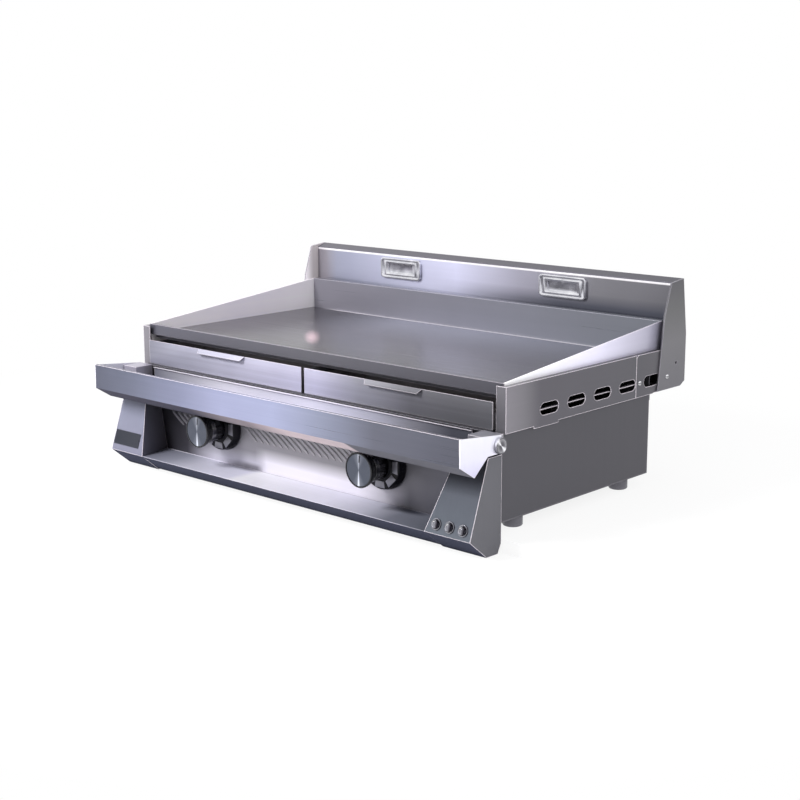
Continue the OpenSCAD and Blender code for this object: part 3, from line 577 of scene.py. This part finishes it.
class GRIDDLE_OT_finishes(bpy.types.Operator):
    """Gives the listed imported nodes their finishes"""
    bl_idname = "griddle.finishes"
    bl_label = "Finishes"

    def execute(self, context):
        brass = (*context.scene.griddle_colours.brass, 1)
        finishes = {
            # Every brushed finish paints light and shade into its tone: its stops are a painted
            # sheen and shade, its edge colour a painted highlight, its colour for faces that look
            # down a painted shade, and its washes and spots painted light, shadows and reflections
            brushed("Body side", "Y", [(FRONT, (78, 77, 83)), (0.22, (78, 77, 83))], grain="Z",
                    roughness=0.42, streak=0.012, cloud=0.008, edge=(120, 118, 126)):
                ["body_side_left", "body_side_right", "base_pan", "back_panel", "flue_duct"],
            brushed("Hidden sheet", "X", [(-0.46, (150, 150, 158)), (0.46, (140, 140, 148))]):
                ["heat_shield", "drawer_guides"],
            # Control panel: a painted sheen along X, painted pools of light on its lower part, a
            # painted dark reflection of the left knob, painted shadow under the rail at the top,
            # and painted edge highlights
            brushed("Control panel", "X",
                    [(-0.40, (39, 38, 45)), (-0.30, (80, 78, 86)), (-0.22, (140, 138, 146)),
                     (-0.02, (142, 139, 146)), (0.14, (136, 134, 140)), (0.30, (92, 91, 99)),
                     (0.40, (90, 90, 102))],
                    roughness=0.40, edge=(190, 186, 196),
                    painted_light=[((246, 242, 252), 0.85, (("X", -0.125, -0.095), ("X", 0.26, 0.14),
                                                     ("Z", 0.080, 0.054))),
                            ((214, 211, 224), 0.8, (("X", -0.32, -0.24), ("X", -0.09, -0.12),
                                                    ("Z", 0.068, 0.044))),
                            ((96, 93, 102), 0.75, (("X", -0.19, -0.15), ("X", -0.103, -0.120),
                                                   ("Z", 0.048, 0.040))),
                            ((40, 38, 42), 0.9, (("Z", 0.150, 0.165),))]):
                ["control_panel"],
            # Fascia shelf: a painted sheen along X, a painted highlight and painted shade along
            # its crease with the panel, a painted highlight on its front edge, painted shade
            # underneath, and painted dark smudges of the knobs' shadow and reflection
            brushed("Fascia shelf", "X",
                    [(-0.36, (110, 111, 125)), (-0.30, (142, 143, 158)), (-0.24, (186, 185, 200)),
                     (-0.125, (204, 203, 220)), (-0.105, (226, 225, 232)),
                     (0.02, (208, 207, 218)), (0.12, (202, 201, 215)),
                     (0.21, (168, 168, 182)), (0.27, (114, 116, 128)), (0.36, (92, 95, 105))],
                    metallic=0.35, shine=0.0, edge=RIM_HIGHLIGHT, edge_amount=0.45, under=UNDERSIDE_SHADE,
                    painted_light=[((120, 118, 132), 0.7, (("Y", -0.2135, -0.2115), ("X", -0.12, -0.10))),
                            ((240, 237, 250), 0.9, (("Y", -0.2150, -0.2125),
                                                    ("X", -0.10, -0.13))),
                            ((234, 235, 255), 0.7, (("Y", -0.2860, -0.2878), ("z", 0.3, 0.8),
                                                     ("X", 0.40, 0.28)))],
                    spots=[((44, 46, 56), 0.85, (0.272, -0.219), 0.05, (0.048, 0.018)),
                           ((100, 98, 110), 0.8, (-0.143, -0.214), 0.05, (0.044, 0.016))]):
                ["fascia_shelf"],
            # Left cheek: painted shadow towards the top under the rail, painted shade on its inner
            # wall at the front, painted edge highlights and painted shade on faces that look down
            brushed("Left cheek", "Z", [(0.0, (100, 101, 116)), (0.05, (120, 120, 136)),
                                        (0.115, (118, 120, 136)), (0.145, (84, 85, 95)),
                                        (0.17, (60, 60, 68))],
                    grain="Z", metallic=0.35, shine=0.0, edge=RIM_HIGHLIGHT, edge_amount=1.0, under=UNDERSIDE_SHADE,
                    painted_light=[((62, 57, 58), 0.7, (("x", 0.5, 0.9), ("Y", -0.30, -0.22)))]):
                ["cheek_left"],
            # Right cheek, the same steel with other painted light: painted shadow at the top of
            # its front face under the rail, its outer side a painted tone of its own, painted edge
            # highlights and painted shade on faces that look down
            brushed("Right cheek", "Z", [(0.0, (100, 105, 113)), (0.06, (86, 90, 98)),
                                         (0.17, (74, 75, 83))],
                    grain="Z", roughness=0.38, metallic=0.35, shine=0.0, edge=RIM_HIGHLIGHT,
                    edge_amount=1.0, under=UNDERSIDE_SHADE,
                    painted_light=[((44, 45, 51), 0.8, (("Z", 0.098, 0.128), ("y", -0.4, -0.7))),
                            ((101, 101, 106), 1.0, (("x", 0.4, 0.8),))]):
                ["cheek_right"],
            # Drawers: a painted sheen along X, painted edge highlights, and painted shade on faces
            # that look down, such as under the handle lips
            brushed("Drawers", "X",
                    [(-0.44, (128, 128, 141)), (-0.30, (182, 181, 199)), (-0.08, (208, 205, 226)),
                     (0.03, (206, 203, 224)), (0.14, (155, 154, 163)), (0.26, (114, 113, 119)),
                     (0.44, (106, 106, 112))], under=(70, 66, 72),
                    streak=0.14, cloud=0.06, roughness=0.30, edge=RIM_HIGHLIGHT, edge_amount=0.65):
                ["drawer_front_left", "drawer_front_right"],
            brushed("Drawer trays", "X", [(-0.46, (172, 168, 172)), (0.46, (142, 138, 141))],
                    grain="Y"): ["drawer_tray_left", "drawer_tray_right"],
            brushed("Drawer shelf", "X", [(-0.46, (84, 83, 90)), (0.46, (64, 63, 68))]):
                ["drawer_shelf"],
            # Casing side: a painted sheen that darkens from the front backwards, painted edge
            # highlights, and a painted darker tone on the right front post's face
            brushed("Casing side", "Y",
                    [(FRONT, (131, 128, 135)), (FRONT + 0.045, (118, 116, 122)),
                     (FRONT + 0.09, (91, 89, 96)), (FRONT + 0.38, (89, 88, 94)),
                     (FRONT + 0.5, (96, 94, 99))],
                    grain="Y", roughness=0.38, edge=RIM_HIGHLIGHT, edge_amount=1.0,
                    painted_light=[((112, 110, 116), 1.0, (("y", -0.5, -0.8), ("X", 0.0, 0.01)))]):
                ["case_side_left", "case_side_right", "rear_bracket_left", "rear_bracket_right"],
            # Griddle plate: a painted sheen brightening towards the back, painted shade at both
            # ends, a painted highlight along its rear edge, and a painted pink lamp reflection
            brushed("Griddle plate", "Y",
                    [(-0.14, (71, 69, 75)), (0.06, (125, 123, 132)), (0.20, (165, 166, 181)),
                     (0.26, (171, 172, 189))],
                    roughness=0.24, streak=0.018, edge=(170, 168, 180),
                    painted_light=[((74, 74, 82), 0.62, (("X", 0.02, 0.36),)),
                            ((57, 54, 59), 0.9, (("X", -0.15, -0.33),)),
                            ((255, 250, 255), 1.0, (("Y", 0.2475, 0.2495), ("X", -0.42, -0.36)))],
                    spots=[((255, 222, 232), 0.7, (-0.165, -0.021), math.radians(136),
                            (0.090, 0.017))]):
                ["griddle_plate"],
            # The two guards are one steel painted with different light: the left one painted
            # nearly white, the right one a painted sheen that fades towards the back
            brushed("Left guard", "Y",
                    [(-0.20, (255, 250, 255)), (0.05, (250, 244, 255)), (0.26, (255, 251, 255))],
                    grain="Y", roughness=0.36, metallic=0.4, streak=0.03, edge=RIM_HIGHLIGHT):
                ["guard_left"],
            brushed("Right guard", "Y",
                    [(-0.20, (255, 255, 255)), (0.05, (226, 223, 243)), (0.26, (146, 144, 161))],
                    grain="Y", roughness=0.32, metallic=0.25, streak=0.03, edge=RIM_HIGHLIGHT):
                ["guard_right"],
            brushed("Upstand", "X",
                    [(-0.44, (136, 134, 144)), (0.0, (135, 135, 146)), (0.44, (127, 130, 138))],
                    roughness=0.30, streak=0.03, edge=(200, 198, 210)): ["upstand"],
            brushed("Front lip", "X",
                    [(-0.45, (92, 91, 102)), (0.0, (98, 97, 104)), (0.45, (79, 78, 86))],
                    edge=BLUSH_HIGHLIGHT, edge_amount=0.5): ["front_lip"],
            # Splashback: a painted sheen along X, painted shade along its lower part, a painted
            # reflection at its left end, and a painted highlight on its top edge
            brushed("Splashback", "X",
                    [(-0.45, (140, 142, 158)), (-0.36, (156, 158, 179)), (-0.20, (192, 193, 216)),
                     (-0.06, (214, 214, 239)), (0.03, (190, 189, 208)), (0.10, (164, 162, 177)),
                     (0.28, (127, 126, 132)), (0.45, (112, 111, 117))],
                    streak=0.03, edge=(200, 198, 210),
                    painted_light=[((78, 80, 92), 0.93, (("Z", 0.347, 0.324), ("X", -0.13, 0.20))),
                            ((150, 142, 146), 0.6, (("X", -0.400, -0.432),)),
                            ((255, 252, 255), 0.9, (("Z", 0.3785, 0.3800),))]):
                ["splash_panel"],
            brushed("Rear cover", "X",
                    [(-0.45, (94, 92, 101)), (0.0, (88, 86, 95)), (0.45, (79, 78, 86))],
                    roughness=0.36, edge=(150, 147, 160)): ["rear_cover"],
            # Left splash end: painted light on its inner face, with a painted reflection near the
            # front, and painted edge highlights
            brushed("Left splash end", "Z", [(0.19, (108, 107, 113)), (0.39, (96, 95, 100))],
                    grain="Z", roughness=0.38, metallic=0.0, edge=BLUSH_HIGHLIGHT,
                    painted_light=[((255, 250, 255), 1.0, (("x", 0.4, 0.8),)),
                            ((176, 168, 170), 0.8, (("x", 0.4, 0.8), ("Y", 0.250, 0.268)))]):
                ["splash_end_left"],
            # Right splash end, the same steel with other painted light: a painted sheen up its
            # height and painted edge highlights
            brushed("Right splash end", "Z",
                    [(0.19, (108, 107, 113)), (0.28, (114, 113, 117)), (0.34, (102, 102, 104)),
                     (0.39, (91, 90, 95))],
                    grain="Z", roughness=0.38, streak=0.03, edge=(176, 172, 184)):
                ["splash_end_right"],
            # Rail: a painted sheen along X, painted highlights on its top edges, painted shade
            # under it with painted reflections along its underside, and painted light on the
            # trough's inner rear wall
            brushed("Rail", "X",
                    [(-0.46, (88, 90, 103)), (-0.34, (101, 104, 120)), (-0.22, (123, 126, 148)),
                     (-0.09, (147, 150, 177)), (0.04, (150, 154, 181)), (0.16, (131, 135, 154)),
                     (0.28, (98, 99, 110)), (0.46, (87, 88, 98))],
                    streak=0.07, cloud=0.05, roughness=0.30, edge=RIM_HIGHLIGHT, edge_amount=0.95,
                    edge_above=0.185, under=(70, 69, 79), shine=0.0,
                    painted_light=[((250, 246, 255), 0.7, (("Y", -0.28, -0.255), ("X", 0.36, 0.06),
                                                    ("X", -0.44, -0.20), ("z", -0.3, 0.0))),
                            ((100, 100, 107), 0.9, (("z", -0.2, -0.6), ("X", 0.20, 0.21))),
                            ((130, 122, 127), 0.9, (("z", -0.2, -0.6), ("X", -0.20, -0.08),
                                                    ("X", 0.217, 0.209))),
                            ((188, 174, 178), 0.8, (("z", -0.2, -0.6), ("X", -0.04, 0.06),
                                                    ("X", 0.217, 0.209)))]): ["rail_trough"],
            # Rail ends: a painted sheen up their height, painted edge highlights and painted shade
            # on faces that look down
            brushed("Rail ends", "Z", [(0.13, (200, 196, 228)), (0.17, (230, 229, 243)),
                                       (0.21, (238, 238, 246))],
                    grain="Z", roughness=0.36, streak=0.02, edge=(252, 250, 255),
                    under=(58, 57, 66)):
                ["rail_caps"],
            brushed("Rail blocks", "X", [(-0.46, (176, 172, 186)), (0.46, (150, 149, 158))],
                    roughness=0.36, streak=0.03, edge=RIM_HIGHLIGHT): ["rail_blocks"],
            cast("Injector brass", brass, 0.9, 0.34):
                ["injectors", "valve_left", "valve_right", "spindle_left", "spindle_right",
                 "pilots"],
            cast("Burner iron", tone(78, 74, 76), 0.6, 0.6, grain=0.001, spread=0.3):
                ["burner_left", "burner_right", "thermocouples"],
            cast("Gas pipe", tone(168, 170, 174), 0.9, 0.36): ["gas_manifold"],
            cast("Plunger steel", tone(180, 180, 186), 1.0, 0.25):
                ["plunger_left", "plunger_right"],
        }
        for material, names in finishes.items():
            for name in names:
                mesh = NODES[name].data
                mesh.materials.clear()
                mesh.materials.append(material)
        return {"FINISHED"}


class GRIDDLE_OT_knobs(bpy.types.Operator):
    """Turned knobs with a grooved head, fluted neck and pointer"""
    bl_idname = "griddle.knobs"
    bl_label = "Knobs"

    def execute(self, context):
        edge = context.scene.griddle_sizes.knob_edge
        plain = (*context.scene.griddle_colours.knob_black, 1)
        black = cast("Knob black", plain, 0.0, 0.20, grain=0.00006, spread=0.10, shine=0.45)
        band = chrome("Knob band", 20, 50, 150, 0.2)
        pointer_black = cast("Pointer black", tone(14, 14, 18), 0.0, 0.4)
        flute_count, flute_radius, flute_ring, flute_height = 12, 0.0036, 0.0268, 0.0300
        for side, sign in SIDES:
            x = sign * KNOB_X
            knob = turned("knob_body_" + side, KNOB_BODY)
            cutters = []
            for number in range(flute_count):
                angle = math.radians(360 / flute_count * number)
                deselect()
                bpy.ops.mesh.primitive_cylinder_add(
                    vertices=20, radius=flute_radius, depth=0.020,
                    location=(flute_ring * math.cos(angle), flute_ring * math.sin(angle),
                              flute_height))
                cutters.append(bpy.context.object)
            flutes = joined("flutes", cutters)
            settle(flutes)
            carve(knob, flutes, "DIFFERENCE")
            seat(knob, to_front(x, KNOB_Z), edge / 2, 2, 40)
            dress(knob, black, "knob_" + side, ["knob_" + side])

            insert = turned("knob_face_" + side, KNOB_FACE, 128)
            seat(insert, to_front(x, KNOB_Z), 0.0001, 1, 60)
            dress(insert, spun("Spun face " + side, x), "knob_" + side,
                  ["knob_insert_" + side])

            ring = turned("knob_band_" + side, KNOB_BAND)
            seat(ring, to_front(x, KNOB_Z), 0.0002, 1, 60)
            dress(ring, band, "knob_" + side)

            # The pointer lies on the face, 5 degrees off upright
            pointer = slab("knob_pointer_" + side, (0.0018, 0.0006, 0.0125), (0, 0, 0.0195))
            face = Matrix.Translation((x, PANEL - 0.0687, KNOB_Z))
            seat(pointer, face @ Matrix.Rotation(math.radians(5), 4, "Y"), 0.0002, 2)
            dress(pointer, pointer_black, "knob_" + side)
        return {"FINISHED"}


class GRIDDLE_OT_bezels(bpy.types.Operator):
    """Dial bezels with their ring of silver blocks"""
    bl_idname = "griddle.bezels"
    bl_label = "Dial bezels"

    def execute(self, context):
        black = cast("Bezel black", tone(13, 13, 18), 0.0, 0.28, grain=0.00005, spread=0.08,
                     shine=0.16)
        silver = cast("Dial silver", tone(128, 127, 136), 0.7, 0.42, spread=0.15)
        count, length, width, thickness, outer_width = 8, 0.0118, 0.0190, 0.0012, 1.22
        outward = Matrix.Translation((0.0346, 0, 0.0167))
        dishes = []
        blocks = []
        for sign in (-1, 1):
            stand = to_front(sign * KNOB_X, KNOB_Z)
            dishes.append(seat(turned("dial_dish", BEZEL), stand, 0.0004, 2, 45))
            for number in range(count):
                block = slab("dial_block", (length, width, thickness), (0, 0, 0))
                pick(block, "FACE", lambda face: face.normal.x > 0.9)
                bpy.ops.transform.resize(value=(1, outer_width, 1),
                                         center_override=(length / 2, 0, 0))
                bpy.ops.object.mode_set(mode="OBJECT")
                turn = Matrix.Rotation(math.radians(360 / count * number), 4, "Z")
                blocks.append(seat(block, stand @ turn @ outward, 0.0004, 2))
        dress(joined("dial_dishes", dishes), black, "station", ["dial_bezels"])
        dress(joined("dial_blocks", blocks), silver, "station")
        return {"FINISHED"}


class GRIDDLE_OT_pulls(bpy.types.Operator):
    """Flush pulls on the splashback, pressed from bright sheet"""
    bl_idname = "griddle.pulls"
    bl_label = "Flush pulls"

    def execute(self, context):
        bright = chrome("Pull chrome", 120, 186, 255, 0.14)
        low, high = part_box("flush_pulls")
        middle = (low.z + high.z) / 2

        def plate(sign, width, height, radius, start, end):
            """A round-cornered plate between two depths behind a pull's face."""
            part = slab("plate", (width, end - start, height),
                        (sign * KNOB_X, low.y + (start + end) / 2, middle))
            pick(part, "EDGE", lambda edge: abs(span(part, edge).y) > (end - start) / 2)
            bpy.ops.mesh.bevel(offset=radius, segments=6, affect="EDGES")
            bpy.ops.object.mode_set(mode="OBJECT")
            return part

        width, height, radius = 0.110, 0.042, 0.008
        pulls = []
        for sign in (-1, 1):
            pull = plate(sign, width, height, radius, 0, high.y - low.y)
            for operation, *sizes in PULL_STEPS:
                carve(pull, plate(sign, *sizes), operation)
            soften(pull, 0.0005, 3, 40)
            pulls.append(pull)
        dress(joined("splash_pulls", pulls), bright, "station", ["flush_pulls"])
        return {"FINISHED"}


class GRIDDLE_OT_louvres(bpy.types.Operator):
    """Pressed hoods over the slots of the control panel"""
    bl_idname = "griddle.louvres"
    bl_label = "Louvres"

    def execute(self, context):
        sizes = context.scene.griddle_sizes
        # Louvre hoods: a painted sheen along X, and painted light on the sides that face +X, away
        # from the left end of the row
        metal = brushed("Louvre edge", "X", [(-0.36, (112, 110, 118)), (0.0, (160, 157, 165)),
                                             (0.16, (148, 146, 153))],
                        roughness=0.42, metallic=0.2, shine=0.2,
                        painted_light=[((166, 163, 169), 0.8, (("x", 0.10, 0.4), ("X", -0.25, -0.10)))])
        length, width = 0.0440, 0.0068
        deselect()
        bpy.ops.mesh.primitive_uv_sphere_add(segments=20, ring_count=12, radius=0.5)
        first = bpy.context.object
        first.scale = (length, width, 2 * sizes.louvre_height)
        settle(first)
        bpy.ops.object.mode_set(mode="EDIT")
        bpy.ops.mesh.select_all(action="SELECT")
        bpy.ops.mesh.bisect(plane_co=(0, 0, 0.0001), plane_no=(0, 0, 1), clear_inner=True,
                            use_fill=True)
        bpy.ops.object.mode_set(mode="OBJECT")
        bpy.ops.object.shade_smooth_by_angle(angle=math.radians(40))

        pitch = sizes.louvre_pitch
        row_reach, left_start, left_count, level = 0.139, -0.345, 4, 0.1005
        count = math.floor(2 * row_reach / pitch) + 1
        places = [-(count - 1) * pitch / 2 + number * pitch for number in range(count)]
        places += [left_start + number * pitch for number in range(left_count)]
        slant = Matrix.Rotation(math.radians(-34), 4, "Z")
        hoods = [copied(first, "louvre", to_front(x, level) @ slant) for x in places]
        bpy.data.objects.remove(first)
        dress(joined("louvre_hoods", hoods), metal, "station")
        return {"FINISHED"}


class GRIDDLE_OT_plate(bpy.types.Operator):
    """Blank data plate with a rim and two rivets"""
    bl_idname = "griddle.data_plate"
    bl_label = "Data plate"

    def execute(self, context):
        dark = cast("Data plate", tone(50, 52, 61), 0.6, 0.42, spread=0.2)
        low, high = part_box("data_plate")
        width, height, thickness = high.x - low.x, 0.028, 0.0008
        rim, step, drop, rivet_inset = 0.0016, 0.0004, 0.0003, 0.0042
        plate = slab("plate", (width, height, thickness), (0, 0, thickness / 2))
        pick(plate, "FACE", lambda face: face.normal.z > 0.9)
        bpy.ops.mesh.inset(thickness=rim, depth=0)
        bpy.ops.mesh.inset(thickness=step, depth=-drop)
        bpy.ops.object.mode_set(mode="OBJECT")
        soften(plate, 0.0001, 2)
        pieces = [plate]
        for sign in (-1, 1):
            rivet = turned("rivet", RIVET, 24)
            move(rivet, Matrix.Translation((sign * (width / 2 - rivet_inset), 0, 0)))
            pieces.append(rivet)
        piece = joined("cheek_plate", pieces)
        move(piece, Matrix.Translation((low + high) / 2)
             @ Matrix.Rotation(math.radians(90) - LEAN, 4, "X")
             @ Matrix.Translation((0, 0, -thickness / 2)))
        dress(piece, dark, "station", ["data_plate"])
        return {"FINISHED"}


class GRIDDLE_OT_feet(bpy.types.Operator):
    """Round feet with a soft lower edge"""
    bl_idname = "griddle.feet"
    bl_label = "Feet"

    def execute(self, context):
        grey = cast("Foot grey", tone(104, 103, 110), 0.55, 0.40, spread=0.12)
        low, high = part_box("feet")
        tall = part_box("base_pan")[0].z - low.z
        radius = 0.017
        waist = radius - 0.0012
        profile = [(0.0, radius - 0.0030), (0.0008, waist), (0.0026, radius),
                   (tall - 0.0060, radius), (tall - 0.0046, waist), (tall - 0.0016, waist),
                   (tall, radius - 0.0008)]
        feet = []
        for x in (low.x + radius, high.x - radius):
            for y in (low.y + radius, high.y - radius):
                feet.append(seat(turned("foot", profile), Matrix.Translation((x, y, low.z)),
                                 0.0004, 2, 40))
        dress(joined("levelling_feet", feet), grey, "station", ["feet"])
        return {"FINISHED"}


class GRIDDLE_OT_screws(bpy.types.Operator):
    """Socket screws of the casing and the polished hand screws of the rail"""
    bl_idname = "griddle.screws"
    bl_label = "Screws"

    def execute(self, context):
        polished = chrome("Screw chrome")
        low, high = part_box("case_screws")
        front_x, back_x, radius = 0.457, 0.460, 0.0046
        heads = []
        for sign in (-1, 1):
            for x, y in ((front_x, low.y + radius), (back_x, high.y - radius)):
                stand = to_side(sign * x, y, (low.z + high.z) / 2, sign)
                heads.append(seat(turned("head", SCREW_HEAD, 36), stand, 0.00012, 1, 40))
        dress(joined("casing_screws", heads), polished, "station", ["case_screws"])

        for side, sign in SIDES:
            low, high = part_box("rail_screw_" + side)
            centre = (low + high) / 2
            radius = (high.z - low.z) / 2
            thickness = 0.0050
            head = ((0.0001, 0.0010), (0.0006, 0.0002), (0.0012, 0.0), (0.0034, 0.0),
                    (0.0045, 0.0005), (thickness, 0.0016), (thickness, 0.0026),
                    (0.0044, 0.0034), (0.0042, radius - 0.0010))
            shank = high.x - low.x - thickness
            profile = [(0.0, 0.0044), (0.0006, 0.0050), (shank, 0.0050)]
            profile += [(shank + height, radius - inset) for height, inset in head]
            start = low.x if sign > 0 else high.x
            screw = turned("hand_screw_" + side, profile)
            seat(screw, to_side(start, centre.y, centre.z, sign), 0.0003, 2, 45)
            metal = hand_screw_chrome("Hand screw " + side, centre.y, centre.z)
            dress(screw, metal, "rail_screw_" + side, ["rail_screw_" + side])
        return {"FINISHED"}


class GRIDDLE_OT_igniters(bpy.types.Operator):
    """Igniter rings and domed buttons on the right cheek"""
    bl_idname = "griddle.igniters"
    bl_label = "Igniters"

    def execute(self, context):
        polished = dome_chrome("Igniter chrome")
        lean_back = Matrix.Rotation(math.radians(90) - LEAN, 4, "X")
        up_slope = Vector((0, math.sin(LEAN), math.cos(LEAN)))
        inset, pitch, height = 0.018, 0.0277, 0.016
        row = Vector((0, FRONT - CHEEK_REACH, SLOPE_FOOT)) + up_slope * height
        rings = []
        for number, name in enumerate(("outer", "middle", "inner")):
            x = CHEEK_SIDE - inset - number * pitch
            stand = Matrix.Translation(row + Vector((x, 0, 0))) @ lean_back
            rings.append(seat(turned("ring", IGNITER_RING, 64), stand, 0.0002, 2, 45))
            cap = turned("igniter_cap_" + name, IGNITER_CAP, 64)
            seat(cap, stand, 0.0002, 1, 60)
            dress(cap, polished, "button_" + name, ["button_" + name])
        dress(joined("igniter_rings", rings), polished, "station", ["igniters"])
        return {"FINISHED"}


class GRIDDLE_OT_stage(bpy.types.Operator):
    """Camera, lamps, white surroundings, floor and bench"""
    bl_idname = "griddle.stage"
    bl_label = "Stage"

    def execute(self, context):
        scene = context.scene
        scene.view_settings.view_transform = "Standard"

        # The floor is pale to what it lights, and nearly pure white to the camera and in mirrors
        pale = Finish("Pale floor", 0.0, 0.9)
        spots = pale.noise(3.0, 2.0)
        pale.set("Base Color",
                 pale.mix(spots * 0.02, (0.93, 0.93, 0.94, 1), (0.90, 0.90, 0.92, 1)))
        light = pale.node("ShaderNodeEmission", None, {0: (1, 1, 1, 1), 1: 1.0})
        seen = pale.node("ShaderNodeLightPath", None, None, "Is Camera Ray")
        mirrored = Wire(pale.tree, seen.socket.node.outputs["Is Glossy Ray"])
        across = pale.axis("X")
        along = pale.axis("Y")
        away = ((across * across + along * along) ** 0.5).between(0.55, 1.3) * 0.14
        surface = Wire(pale.tree, pale.shader.outputs[0])
        blend = pale.node("ShaderNodeMixShader", None,
                          {0: (seen + mirrored) * (away + 0.86), 1: surface, 2: light})
        pale.tree.links.new(blend.socket, pale.tree.nodes["Material Output"].inputs[0])
        bench_height = scene.griddle_sizes.bench_height
        bench_depth, bench_edge = 5.0, FRONT - 0.008
        bench = slab("bench", (6.0, bench_depth, bench_height),
                     (0, bench_edge + bench_depth / 2, bench_height / 2))
        ground = slab("ground", (12.0, 12.0, 0.01), (0, 0, -0.005))
        for piece in (bench, ground):
            piece.data.materials.append(pale.material)

        world = bpy.data.worlds.new("Surroundings")
        scene.world = world
        world.use_nodes = True
        tree = world.node_tree
        tree.nodes.clear()
        rays = add_node(tree, "ShaderNodeLightPath").socket.node.outputs
        camera_ray, clear_ray, glossy_ray = (
            Wire(tree, rays[f"Is {kind} Ray"]) for kind in ("Camera", "Transmission", "Glossy"))
        dim = add_node(tree, "ShaderNodeBackground", None, {0: (1, 1, 1, 1), 1: 0.6})
        white = add_node(tree, "ShaderNodeBackground", None, {0: (1, 1, 1, 1), 1: 1.0})
        amount = (camera_ray + clear_ray + glossy_ray).maths("MINIMUM", 1.0)
        both = add_node(tree, "ShaderNodeMixShader", None, {0: amount, 1: dim, 2: white})
        out = tree.nodes.new("ShaderNodeOutputWorld")
        tree.links.new(both.socket, out.inputs[0])

        for name, place, size, power in (
                ("Key", (-0.86, -2.1, 1.69), 0.8, 115), ("Fill", (2.6, -0.4, 1.7), 1.8, 38),
                ("Top", (0.2, 0.6, 2.6), 2.2, 10)):
            lamp = bpy.data.lights.new(name, "AREA")
            lamp.size = size
            lamp.energy = power
            holder = bpy.data.objects.new(name, lamp)
            scene.collection.objects.link(holder)
            holder.location = place
            holder.visible_glossy = False
            aim = Vector((0, 0, 0.15)) - Vector(place)
            holder.rotation_euler = aim.to_track_quat("-Z", "Y").to_euler()

        # The place, tilt, heading and roll of the camera that took the photograph
        place = (1.88651, -2.00576, 0.74465)
        tilt, heading, roll = (math.radians(angle) for angle in (77.83, 42.54, -0.18))
        camera = bpy.data.cameras.new("View")
        camera.sensor_fit = "HORIZONTAL"
        camera.sensor_width = 36.0
        camera.lens = 67.195
        camera.clip_end = 50
        eye = bpy.data.objects.new("View", camera)
        scene.collection.objects.link(eye)
        turn = Euler((tilt, 0, heading)).to_matrix() @ Matrix.Rotation(roll, 3, "Z")
        eye.matrix_world = Matrix.Translation(place) @ turn.to_4x4()
        scene.camera = eye
        return {"FINISHED"}


STEPS = (GRIDDLE_OT_stage, GRIDDLE_OT_finishes, GRIDDLE_OT_knobs, GRIDDLE_OT_bezels,
         GRIDDLE_OT_pulls, GRIDDLE_OT_louvres, GRIDDLE_OT_plate, GRIDDLE_OT_feet,
         GRIDDLE_OT_screws, GRIDDLE_OT_igniters)


class GRIDDLE_PT_panel(bpy.types.Panel):
    """Lists the steps that dress the griddle"""
    bl_idname = "GRIDDLE_PT_panel"
    bl_label = "Griddle"
    bl_space_type = "VIEW_3D"
    bl_region_type = "UI"
    bl_category = "Griddle"

    def draw(self, context):
        column = self.layout.column(align=True)
        for group in (context.scene.griddle_sizes, context.scene.griddle_colours):
            for name in group.__annotations__:
                column.prop(group, name)
        for step in STEPS:
            column.operator(step.bl_idname)


CLASSES = (GriddleColours, GriddleSizes) + STEPS + (GRIDDLE_PT_panel,)


def register():
    for item in CLASSES:
        bpy.utils.register_class(item)
    bpy.types.Scene.griddle_sizes = bpy.props.PointerProperty(type=GriddleSizes)
    bpy.types.Scene.griddle_colours = bpy.props.PointerProperty(type=GriddleColours)


def unregister():
    del bpy.types.Scene.griddle_colours
    del bpy.types.Scene.griddle_sizes
    for item in reversed(CLASSES):
        bpy.utils.unregister_class(item)


def main():
    register()
    for step in STEPS:
        group, name = step.bl_idname.split(".")
        getattr(getattr(bpy.ops, group), name)()


if __name__ == "__main__":
    main()
